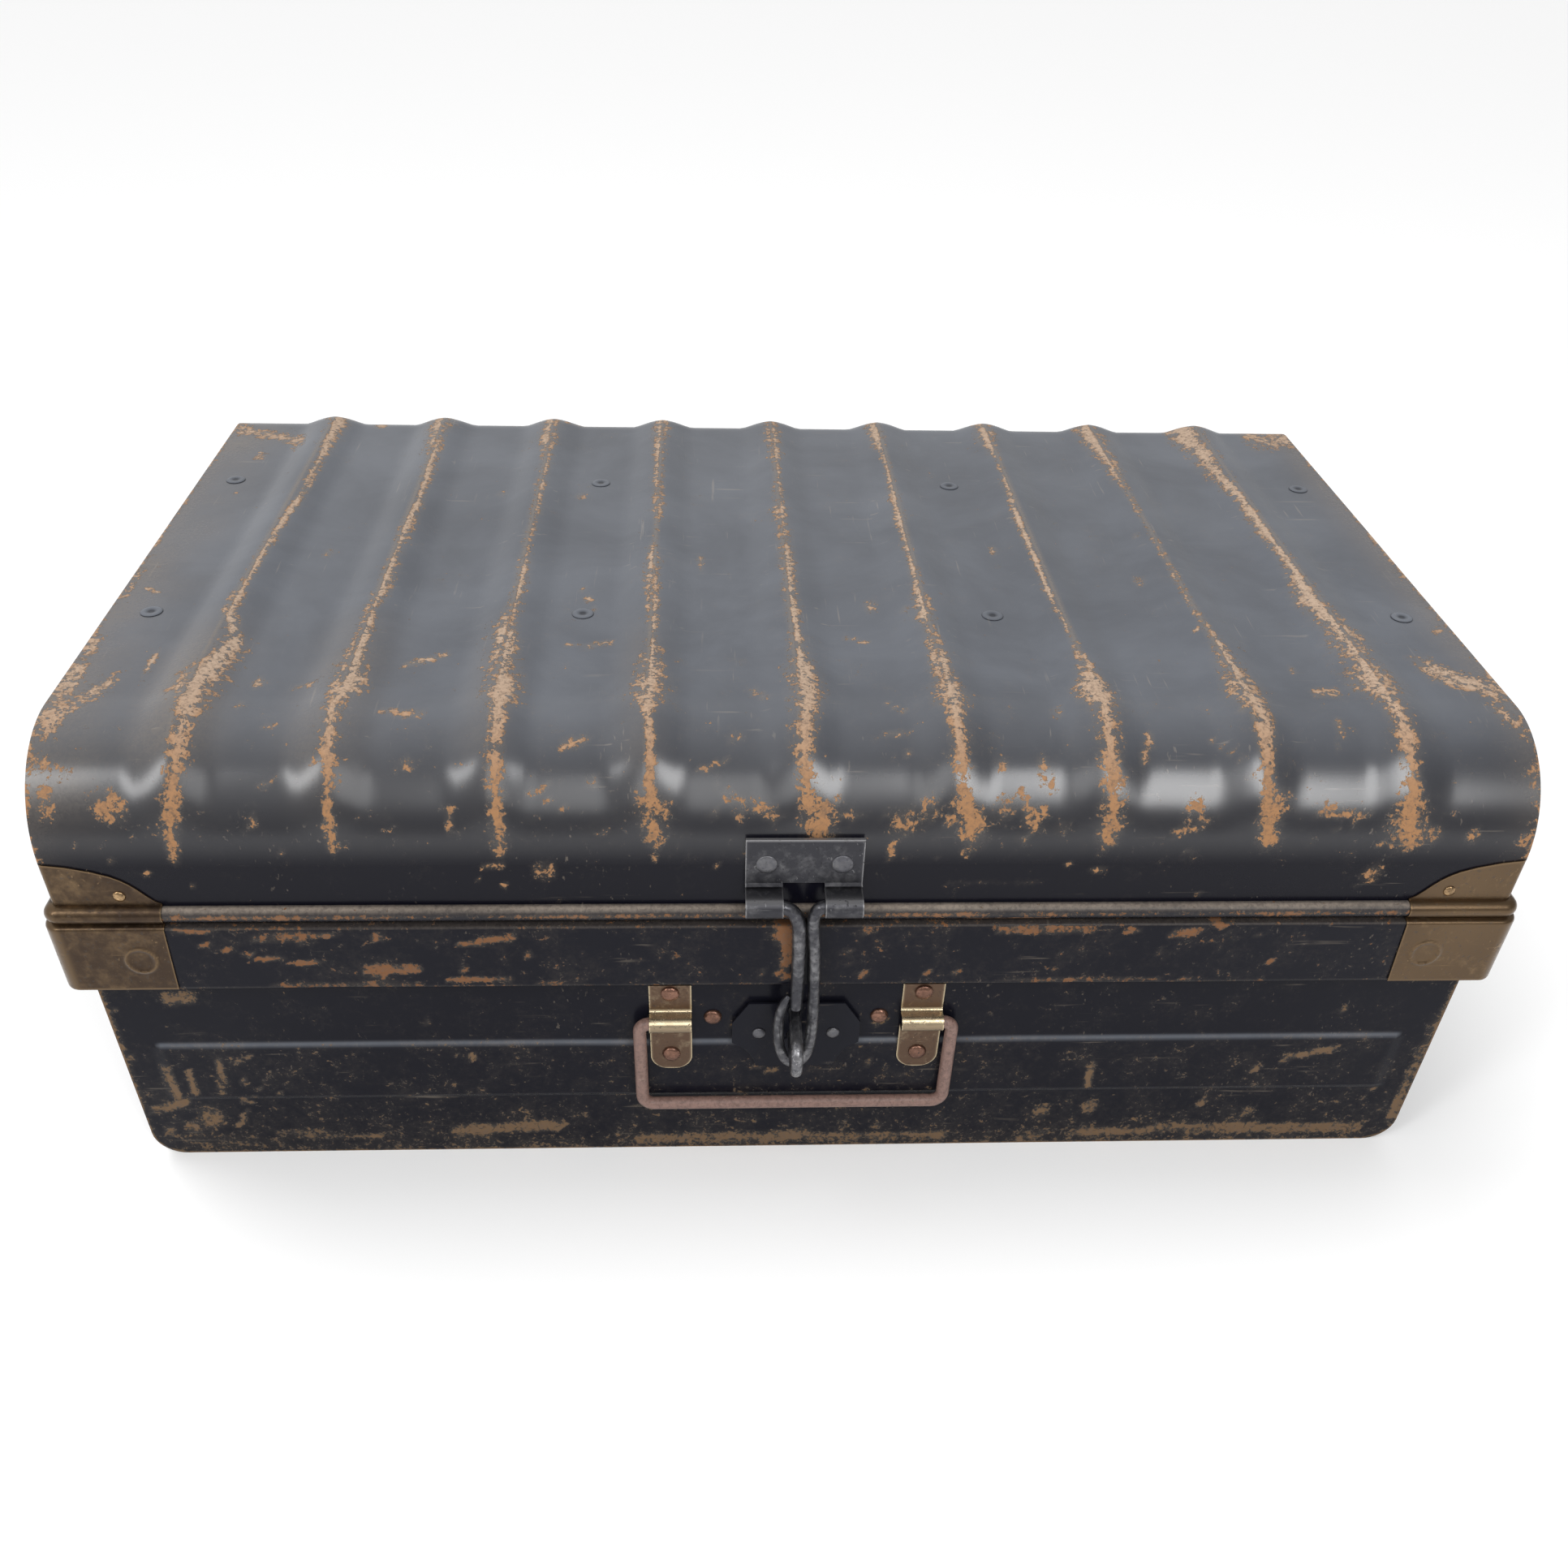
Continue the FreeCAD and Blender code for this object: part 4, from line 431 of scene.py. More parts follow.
class Finishes:
    """The trunk's materials, each made the first time it is asked for."""
    made = {}

    @classmethod
    def get(cls, name):
        if name not in cls.made:
            if not cls.made:
                cls.chips, cls.old = chipped_paint(), old_surface()
            cls.made[name] = getattr(cls, name)(bpy.context.scene.trunk_colours)
        return cls.made[name]

    @classmethod
    def chipped_enamel(cls, name, colours, under, size=1.0, more=0.0, tone=1.0):
        """Black enamel with a chalky bloom that is partly painted sheen, chipped to the coat under it where
        the mesh says it is worn.
        """
        material, tree, shader = new_material(name, Specular_IOR_Level=0.10, Coat_Roughness=0.26,
                                              Coat_IOR=1.75)
        wear = attribute(tree, "wear")
        chips = placed(tree, cls.chips, {"Wear": sums(tree, "ADD", wear, more), "Size": size})
        old = placed(tree, cls.old, {"Size": 1.0})
        # The bloom mixes a pale blue-grey into the black: partly real bloom, partly painted sheen on the
        # upward faces.
        bloom = sums(tree, "MULTIPLY", attribute(tree, "bloom_and_sheen"),
                     spread(tree, old.outputs["Blotch"], 0.2, 0.85, 0.70, 1.12))
        coat = mixed(tree, bloom, solid(colours.enamel), solid(colours.bloom_and_sheen))
        # The share below is the bloom share doubled: partly dust, partly painted light on the upward faces.
        dust_and_sheen = sums(tree, "MULTIPLY", attribute(tree, "bloom_and_sheen"), 2.2, clamp=True)
        patchy = spread(tree, chips.outputs["Mottle"], 0.34, 0.62, 0.55, 1.05)
        rub = sums(tree, "MAXIMUM", sums(tree, "MULTIPLY", chips.outputs["Film"], 0.62),
                   sums(tree, "MULTIPLY", attribute(tree, "film"), patchy))
        # The rubbed film is mixed from a lit copy, where that share or the film is high, and a much darker
        # shaded copy on the front: painted light and shade.
        dull = mixed(tree, sums(tree, "MAXIMUM", dust_and_sheen, attribute(tree, "film"), clamp=True),
                     solid(colours.film, 0.26), solid(colours.film, tone))
        coat = mixed(tree, rub, coat, dull)
        coat = mixed(tree, sums(tree, "MULTIPLY", old.outputs["Scuff"], 0.16), coat, solid(colours.flake))
        # Chips show the paler primer where that share is high: partly dust, partly painted light on the
        # upward faces.
        settled_and_lit = sums(tree, "MULTIPLY", dust_and_sheen, spread(tree, chips.outputs["Film"], 0.55, 1.0, 0.30, 1.0))
        bright = mixed(tree, settled_and_lit, solid(under), solid(colours.dust_and_sheen))
        metal = mixed(tree, spread(tree, chips.outputs["Mottle"], 0.32, 0.56, 0.25, 1.0),
                      solid(colours.rubbed), bright)
        colour = mixed(tree, chips.outputs["Bare"], coat, metal)
        colour = mixed(tree, sums(tree, "MULTIPLY", chips.outputs["Edge"], 0.18), colour,
                       solid(colours.flake))
        tree.links.new(colour, shader.inputs["Base Color"])
        gloss = sums(tree, "MULTIPLY_ADD", old.outputs["Blotch"], 0.10,
                     sums(tree, "MULTIPLY_ADD", old.outputs["Grit"], 0.08, 0.13))
        rough = sums(tree, "MULTIPLY_ADD", rub, 0.16,
                     sums(tree, "MULTIPLY_ADD", chips.outputs["Bare"], 0.35, gloss))
        tree.links.new(rough, shader.inputs["Roughness"])
        polish = sums(tree, "MULTIPLY", attribute(tree, "polish"),
                      sums(tree, "SUBTRACT", 1.0, chips.outputs["Bare"]))
        tree.links.new(polish, shader.inputs["Coat Weight"])
        height = sums(tree, "MULTIPLY_ADD", old.outputs["Grit"], 0.05, chips.outputs["Depth"])
        relief(tree, shader, height, 0.00020)
        return material

    @classmethod
    def lid_enamel(cls, colours):
        return cls.chipped_enamel("lid_enamel", colours, colours.primer, size=1.5, tone=0.68)

    @classmethod
    def rim_enamel(cls, colours):
        return cls.chipped_enamel("rim_enamel", colours, colours.rust, size=1.5)

    @classmethod
    def body_enamel(cls, colours):
        return cls.chipped_enamel("body_enamel", colours, colours.stain, size=1.7)

    @classmethod
    def fitting_enamel(cls, colours):
        return cls.chipped_enamel("fitting_enamel", colours, colours.rust, size=1.6, more=0.06)

    @classmethod
    def inside_coat(cls, colours):
        """The dull coat inside, with rust blooming through."""
        material, tree, shader = new_material("inside_coat", Specular_IOR_Level=0.25)
        chips = placed(tree, cls.chips, {"Wear": 0.22, "Size": 1.1})
        old = placed(tree, cls.old, {"Size": 1.4})
        coat = mixed(tree, spread(tree, old.outputs["Blotch"], 0.3, 0.75), solid(colours.inside),
                     solid(colours.inside, 0.62))
        colour = mixed(tree, chips.outputs["Bare"], coat, solid(colours.rubbed))
        tree.links.new(colour, shader.inputs["Base Color"])
        tree.links.new(spread(tree, old.outputs["Grit"], 0.2, 0.8, 0.55, 0.8), shader.inputs["Roughness"])
        relief(tree, shader, sums(tree, "MULTIPLY_ADD", old.outputs["Grit"], 0.15, chips.outputs["Depth"]),
               0.00015)
        return material

    @classmethod
    def metal(cls, name, bright, dark, size, low, high, rough, edge_share=0.8, metallic=0.85, depth=0.18,
              pitted=0.75):
        """Old bare metal: dark scale or tarnish, rubbed bright in places and where the mesh's edge value is
        high, which on some pieces also holds painted highlights.
        """
        material, tree, shader = new_material(name)
        old = placed(tree, cls.old, {"Size": size})
        place = put(tree, "ShaderNodeTexCoord").outputs["Object"]
        lumps = grain(tree, place, scale=160.0 * size, detail=5.0, roughness=0.62, distortion=0.3)
        rub = spread(tree, sums(tree, "MULTIPLY_ADD", old.outputs["Blotch"], 0.55,
                                sums(tree, "MULTIPLY", lumps, 0.45)),
                     low, high)
        rub = sums(tree, "MAXIMUM", rub, sums(tree, "MULTIPLY", attribute(tree, "edge"), edge_share))
        rub = sums(tree, "ADD", rub, sums(tree, "MULTIPLY", old.outputs["Scuff"], 0.35), clamp=True)
        pits = spread(tree, grain(tree, place, scale=420.0 * size, detail=3.0, roughness=0.6), 0.60, 0.68)
        colour = mixed(tree, rub, solid(dark), solid(bright))
        colour = mixed(tree, sums(tree, "MULTIPLY", pits, pitted), colour, solid(dark, 0.45))
        tree.links.new(colour, shader.inputs["Base Color"])
        tree.links.new(sums(tree, "MULTIPLY_ADD", rub, -0.18,
                            sums(tree, "MULTIPLY_ADD", pits, 0.2, rough)), shader.inputs["Roughness"])
        tree.links.new(sums(tree, "MULTIPLY_ADD", pits, -0.4, metallic), shader.inputs["Metallic"])
        relief(tree, shader, sums(tree, "MULTIPLY_ADD", lumps, 0.6, sums(tree, "MULTIPLY", pits, -0.5)),
               depth * MM)
        return material

    @classmethod
    def corner_brass(cls, colours):
        return cls.metal("corner_brass", colours.brass, colours.brass_dark, size=1.3, low=0.36, high=0.92,
                         rough=0.34, edge_share=0.5, depth=0.05, pitted=0.4)

    @classmethod
    def clip_brass(cls, colours):
        return cls.metal("clip_brass", colours.pale_brass, colours.clip_dark, size=1.8, low=0.52, high=0.98,
                         rough=0.36, edge_share=0.95, depth=0.10)

    @classmethod
    def plate_steel(cls, colours):
        return cls.metal("plate_steel", colours.steel, colours.steel_dark, size=1.5, low=0.50, high=1.0,
                         rough=0.44, edge_share=0.7, depth=0.10)

    @classmethod
    def dark_steel(cls, colours):
        return cls.metal("dark_steel", colours.steel, shaded(colours.steel_dark, 1.2), size=1.7, low=0.42,
                         high=0.80, rough=0.36, depth=0.25)

    @classmethod
    def staple_steel(cls, colours):
        return cls.metal("staple_steel", colours.steel, shaded(colours.steel_dark, 1.8), size=2.0, low=0.38,
                         high=0.75, rough=0.40)

    @classmethod
    def rivet_steel(cls, colours):
        return cls.metal("rivet_steel", shaded(colours.steel, 0.45), shaded(colours.steel_dark, 2.2),
                         size=2.6, low=0.35, high=0.75, rough=0.46, depth=0.08)

    @classmethod
    def rivet_copper(cls, colours):
        return cls.metal("rivet_copper", colours.copper, shaded(colours.copper, 0.36), size=2.4, low=0.36,
                         high=0.74, rough=0.34, metallic=0.8, depth=0.10)

    @classmethod
    def rivet_brass(cls, colours):
        return cls.metal("rivet_brass", shaded(colours.brass, 1.8), colours.brass_dark, size=2.4, low=0.34,
                         high=0.64, rough=0.30, depth=0.05)

    @classmethod
    def handle_paint(cls, colours):
        """Brown paint over iron, worn light in places."""
        material, tree, shader = new_material("handle_paint", Specular_IOR_Level=0.35)
        chips = placed(tree, cls.chips, {"Wear": 0.16, "Size": 1.6})
        old = placed(tree, cls.old, {"Size": 2.5})
        coat = mixed(tree, spread(tree, chips.outputs["Mottle"], 0.42, 0.66), solid(colours.handle),
                     solid(colours.handle, 0.55))
        coat = mixed(tree, sums(tree, "MULTIPLY", old.outputs["Scuff"], 0.35), coat, solid(colours.flake))
        colour = mixed(tree, chips.outputs["Bare"], coat, solid(colours.flake))
        tree.links.new(colour, shader.inputs["Base Color"])
        tree.links.new(spread(tree, old.outputs["Grit"], 0.2, 0.8, 0.32, 0.52), shader.inputs["Roughness"])
        relief(tree, shader, sums(tree, "MULTIPLY_ADD", old.outputs["Grit"], 0.2, chips.outputs["Depth"]),
               0.0002)
        return material


# Meshes

def lumps_at(points, scale, seed):
    """Slow noise from 0 to 1 at each point, with its scale in lumps per metre."""
    shift = Vector((seed * 3.17, seed * 1.31, seed * 2.03))
    return np.array([0.5 + 0.5 * noise.noise(Vector(point) * scale + shift) for point in points])


def grid_normals(points):
    """Outward normals of a grid of points whose columns and rows turn anticlockwise seen from outside."""
    out = np.cross(np.gradient(points, axis=1), np.gradient(points, axis=0))
    return out / np.maximum(np.linalg.norm(out, axis=2, keepdims=True), 1e-12)


def quads(rows, columns, start=0, wrap_rows=False, wrap_columns=False, flip=False):
    """Faces of a grid of points."""
    row, column = np.meshgrid(np.arange(rows if wrap_rows else rows - 1),
                              np.arange(columns if wrap_columns else columns - 1), indexing="ij")
    row, column = row.ravel(), column.ravel()
    below, beside = (row + 1) % rows, (column + 1) % columns
    faces = np.stack([row * columns + column, row * columns + beside, below * columns + beside,
                      below * columns + column], axis=1) + start
    return faces[:, ::-1] if flip else faces


def thick_sheet(name, points, thickness, values):
    """A sheet with a back: its face is a grid of points, and its values are stored on both sides."""
    return thick_sheets(name, [(points, values)], thickness)


def thick_sheets(name, grids, thickness):
    """One mesh of several sheets with backs, each a grid of points with its values."""
    places, faces, sides, stored, start = [], [], [], {}, 0
    for points, values in grids:
        rows, columns = points.shape[:2]
        count, face_count = rows * columns, (rows - 1) * (columns - 1)
        back = points - grid_normals(points) * thickness
        around = np.concatenate([np.arange(columns), np.arange(1, rows) * columns + columns - 1,
                                 (rows - 1) * columns + np.arange(columns - 2, -1, -1),
                                 np.arange(rows - 2, 0, -1) * columns]) + start
        following = np.roll(around, -1)
        lip = np.stack([following, around, around + count, following + count], axis=1)
        faces += [quads(rows, columns, start), quads(rows, columns, start + count, flip=True), lip]
        sides += [0] * face_count + [1] * face_count + [0] * len(lip)
        places += [points.reshape(-1, 3), back.reshape(-1, 3)]
        for label, value in values.items():
            stored.setdefault(label, []).extend([value.ravel(), value.ravel()])
        start += 2 * count
    mesh = bpy.data.meshes.new(name)
    mesh.from_pydata(np.concatenate(places).tolist(), [], np.concatenate(faces).tolist())
    for label, parts in stored.items():
        store(mesh, label, np.concatenate(parts))
    mesh.polygons.foreach_set("material_index", np.array(sides, dtype=np.int32))
    return mesh


def bent_strip(path, low, high, columns, narrowing=None):
    """A grid of points across a strip that follows a path of y and z in millimetres, from below upward."""
    path = np.array(path)
    points = np.zeros((len(path), columns, 3))
    points[:, :, 0] = np.linspace(low, high, columns)
    if narrowing is not None:
        middle = (low + high) / 2
        points[:, :, 0] = middle + (points[:, :, 0] - middle) * narrowing(path[:, 1])[:, None]
    points[:, :, 1:] = path[:, None, :]
    return points * MM


def ease(value):
    """A smooth step from 0 to 1."""
    value = np.clip(value, 0, 1)
    return value ** 2 * (3 - 2 * value)


def store(mesh, label, values):
    """Stores one number for each point of a mesh."""
    layer = mesh.attributes.new(label, "FLOAT", "POINT")
    layer.data.foreach_set("value", np.asarray(values, dtype=np.float32).ravel())


def set_piece(name, mesh, finishes, body, nodes, sharp=38.0):
    """Makes a mesh a piece that rides a body and stands for its CAD nodes."""
    mesh.shade_smooth()
    mesh.set_sharp_from_angle(angle=math.radians(sharp))
    # Clearing the finishes would lose which face has which, so that is kept.
    chosen = np.zeros(len(mesh.polygons), dtype=np.int32)
    mesh.polygons.foreach_get("material_index", chosen)
    mesh.materials.clear()
    for finish in finishes:
        mesh.materials.append(Finishes.get(finish))
    mesh.polygons.foreach_set("material_index", np.minimum(chosen, len(finishes) - 1))
    piece = bpy.data.objects.new(name, mesh)
    bpy.context.scene.collection.objects.link(piece)
    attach(piece, body)
    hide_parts(*nodes)


def worn(across, along, marks, stretch=1.3):
    """How worn each place is: 1 in the middle of a mark, one half at its edge."""
    level = np.zeros(across.shape)
    stretch = np.broadcast_to(stretch, across.shape)
    for x0, v0, x1, v1, half in marks:
        dx, dv = x1 - x0, v1 - v0
        reach = half * 3.0
        near = ((across > min(x0, x1) - reach) & (across < max(x0, x1) + reach)
                & (along > min(v0, v1) - reach * 3) & (along < max(v0, v1) + reach * 3))
        if not near.any():
            continue
        px, pv, squeeze = across[near] - x0, (along[near] - v0), stretch[near]
        share = np.clip((px * dx + pv * dv) / max(dx * dx + dv * dv, 1e-9), 0.0, 1.0)
        gap = ((px - share * dx) ** 2 + ((pv - share * dv) / squeeze) ** 2) / half ** 2
        level[near] = np.maximum(level[near], np.exp(-0.7 * gap))
    return level


def scattered_marks(seed, count, across, along, small, large):
    """Invented marks, for the sides away from the front."""
    dice = random.Random(seed)
    marks = []
    for _ in range(count):
        x, v = dice.uniform(*across), dice.uniform(*along)
        run = dice.uniform(0.0, 14.0) * dice.choice((0, 0, 1, 2))
        turn = dice.uniform(-0.5, 0.5)
        marks.append((x, v, x + run, v + run * turn, small + (large - small) * dice.random() ** 3))
    return marks


def tube(verts, faces, line, radii, seed, sides=18, step=1.3):
    """Adds a round bar, slightly uneven, along a smooth line through points in millimetres."""
    line, radii = np.array(line, dtype=float), np.array(radii, dtype=float)
    ends = np.concatenate([[2 * line[0] - line[1]], line, [2 * line[-1] - line[-2]]])
    places, widths = [], []
    for part in range(len(line) - 1):
        a, b, c, e = ends[part:part + 4]
        for t in np.linspace(0, 1, max(2, int(np.linalg.norm(c - b) / step)), endpoint=False):
            places.append(0.5 * (2 * b + (c - a) * t + (2 * a - 5 * b + 4 * c - e) * t ** 2
                                 + (3 * b - a - 3 * c + e) * t ** 3))
            widths.append(radii[part] + (radii[part + 1] - radii[part]) * t)
    places, widths = np.array(places + [line[-1]]), np.array(widths + [radii[-1]])
    ahead = np.gradient(places, axis=0)
    ahead /= np.linalg.norm(ahead, axis=1, keepdims=True)
    first = len(verts)
    # Each end is eased: a narrower ring at the end, and the last full ring a little way in.
    eased, inset = 0.72, 0.35
    full = places.copy()
    full[0] += inset * ahead[0]
    full[-1] -= inset * ahead[-1]
    rings = [(places[0], ahead[0], widths[0] * eased), *zip(full, ahead, widths),
             (places[-1], ahead[-1], widths[-1] * eased)]
    side = np.cross(ahead[0], (0.0, 1.0, 0.0))
    for centre, forward, width in rings:
        side = side - forward * np.dot(side, forward)
        side /= np.linalg.norm(side)
        other = np.cross(forward, side)
        for turn in np.linspace(0, 2 * math.pi, sides, endpoint=False):
            out = side * math.cos(turn) + other * math.sin(turn)
            lump = noise.noise(Vector((centre + out * width) * 0.11) + Vector((seed, 0.0, 0.0)))
            verts.append(tuple((centre + out * width * (0.985 + 0.04 * lump)) * MM))
    for ring in range(len(rings) - 1):
        for index in range(sides):
            beside = (index + 1) % sides
            a, b = first + ring * sides, first + (ring + 1) * sides
            faces.append((a + index, a + beside, b + beside, b + index))
    faces.append(tuple(first + index for index in reversed(range(sides))))
    faces.append(tuple(first + (len(rings) - 1) * sides + index for index in range(sides)))


def softened_copy(node, bevel, wobble=0.0, seed=1):
    """A merged copy of a CAD node with its sharp edges eased and marked, and a slight unevenness."""
    work = bmesh.new()
    work.from_mesh(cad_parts[node].data)
    bmesh.ops.remove_doubles(work, verts=work.verts, dist=1e-6)
    bmesh.ops.dissolve_limit(work, angle_limit=math.radians(0.6), verts=work.verts, edges=work.edges)
    sharp = [edge for edge in work.edges if len(edge.link_faces) == 2
             and edge.calc_face_angle() > math.radians(32.0)]
    marked = set()
    if bevel > 0.0 and sharp:
        eased = bmesh.ops.bevel(work, geom=sharp, offset=bevel, offset_type="OFFSET", segments=2, profile=0.5,
                                affect="EDGES", clamp_overlap=True)
        work.faces.index_update()
        marked = {face.index for face in eased["faces"] if face.is_valid}
    bmesh.ops.triangulate(work, faces=[face for face in work.faces if len(face.verts) > 4])
    if wobble > 0.0:
        work.normal_update()
        shift = Vector((seed * 2.7, seed * 1.9, seed * 3.1))
        moves = [(vert, vert.normal * (-wobble * (0.5 + 0.5 * noise.noise(vert.co * 90.0 + shift))))
                 for vert in work.verts]
        for vert, move in moves:
            vert.co += move
    mesh = bpy.data.meshes.new(node)
    work.to_mesh(mesh)
    work.free()
    return mesh, marked


# Pieces

def lid_run(sizes):
    """Lengths along the lid sheet, from its front lower edge, at which its bends start and end."""
    low, high = LID_LOW, LID_HIGH
    top = high[2] - sizes.rib_height
    rise = top - sizes.front_bend - low[2]
    one = rise + sizes.front_bend * math.pi / 2
    two = one + (high[1] - low[1]) - sizes.front_bend - sizes.rear_bend
    three = two + sizes.rear_bend * math.pi / 2
    return rise, one, two, three, three + (top - sizes.rear_bend - low[2])


def lid_point(run, sizes):
    """Place on the flat lid sheet at a run, and how far the sheet there leans from level."""
    rise, one, two, three, _ = lid_run(sizes)
    low, high = LID_LOW, LID_HIGH
    top = high[2] - sizes.rib_height
    if run < rise:
        return low[1], low[2] + run, math.pi / 2
    if run < one:
        turn = (run - rise) / sizes.front_bend
        return (low[1] + sizes.front_bend * (1 - math.cos(turn)),
                top - sizes.front_bend * (1 - math.sin(turn)), math.pi / 2 - turn)
    if run < two:
        return low[1] + sizes.front_bend + run - one, top, 0.0
    if run < three:
        turn = (run - two) / sizes.rear_bend
        return (high[1] - sizes.rear_bend * (1 - math.sin(turn)),
                top - sizes.rear_bend * (1 - math.cos(turn)), turn)
    return high[1], top - sizes.rear_bend - (run - three), math.pi / 2


def new_shape(name, inputs):
    """A geometry node group with a mesh, named inputs and a finish, and what its two end nodes offer."""
    tree = bpy.data.node_groups.new(name, "GeometryNodeTree")
    for label, kind in (("Geometry", "Geometry"), *inputs, ("Finish", "Material")):
        tree.interface.new_socket(label, in_out="INPUT", socket_type="NodeSocket" + kind)
    tree.interface.new_socket("Geometry", in_out="OUTPUT", socket_type="NodeSocketGeometry")
    return tree, tree.nodes.new("NodeGroupInput").outputs, tree.nodes.new("NodeGroupOutput").inputs


def hand_over(tree, geometry, given, made):
    """Ends a geometry node group: plain mesh, in the finish that was asked for."""
    real = put(tree, "GeometryNodeRealizeInstances", {0: geometry}).outputs[0]
    painted = put(tree, "GeometryNodeSetMaterial", {"Geometry": real, "Material": given["Finish"]}).outputs[0]
    tree.links.new(painted, made[0])
    return tree


def pressed_ribs():
    """Geometry nodes: presses a row of soft ribs, each with a fine crease, and slow dents in a sheet."""
    tree, given, made = new_shape("pressed_ribs", (
        ("Ribs", "Int"), ("Pitch", "Float"), ("Width", "Float"), ("Height", "Float"), ("Crease", "Float"),
        ("Dents", "Float"), ("Seed", "Float")))
    place = put(tree, "GeometryNodeInputPosition").outputs[0]
    across = put(tree, "ShaderNodeSeparateXYZ", {0: place}).outputs[0]
    last = sums(tree, "SUBTRACT", given["Ribs"], 1.0)
    count = sums(tree, "ADD", sums(tree, "DIVIDE", across, given["Pitch"]), sums(tree, "DIVIDE", last, 2.0))
    nearest = sums(tree, "MINIMUM", sums(tree, "MAXIMUM", sums(tree, "ROUND", count), 0.0), last)
    off = sums(tree, "ABSOLUTE",
               sums(tree, "MULTIPLY", sums(tree, "SUBTRACT", count, nearest), given["Pitch"]))
    share = sums(tree, "DIVIDE", off, sums(tree, "DIVIDE", given["Width"], 2.0), clamp=True)
    bell = sums(tree, "MULTIPLY_ADD", sums(tree, "COSINE", sums(tree, "MULTIPLY", share, math.pi)), 0.5, 0.5)
    bell = sums(tree, "POWER", bell, 0.66)
    ridge = sums(tree, "SUBTRACT", 1.0, sums(tree, "DIVIDE", off, 0.0026), clamp=True)
    rise = sums(tree, "ADD", sums(tree, "MULTIPLY", bell, given["Height"]),
                sums(tree, "MULTIPLY", ridge, given["Crease"]))
    press = put(tree, "GeometryNodeInputNamedAttribute", {"Name": "press"}, data_type="FLOAT").outputs[0]
    lumps = put(tree, "ShaderNodeTexNoise",
                {"Vector": place, "W": given["Seed"], "Scale": 11.0, "Detail": 2.0},
                noise_dimensions="4D").outputs[0]
    rise = sums(tree, "SUBTRACT", sums(tree, "MULTIPLY", rise, press),
                sums(tree, "MULTIPLY", lumps, given["Dents"]))
    out = put(tree, "GeometryNodeInputNormal").outputs[0]
    push = put(tree, "ShaderNodeVectorMath", {0: out, 3: rise}, operation="SCALE").outputs[0]
    moved = put(tree, "GeometryNodeSetPosition", {"Geometry": given["Geometry"], "Offset": push}).outputs[0]
    return hand_over(tree, moved, given, made)


def from_nodes(mesh, tree, values):
    """Runs a mesh through geometry nodes and returns the plain mesh that comes out."""
    maker = bpy.data.objects.new("maker", mesh)
    bpy.context.scene.collection.objects.link(maker)
    step = maker.modifiers.new("shape", "NODES")
    step.node_group = tree
    for item in tree.interface.items_tree:
        if item.in_out == "INPUT" and item.name in values:
            step[item.identifier] = values[item.name]
    bpy.context.view_layer.update()
    result = bpy.data.meshes.new_from_object(maker.evaluated_get(bpy.context.evaluated_depsgraph_get()))
    maker.modifiers.remove(step)
    bpy.data.objects.remove(maker)
    return result


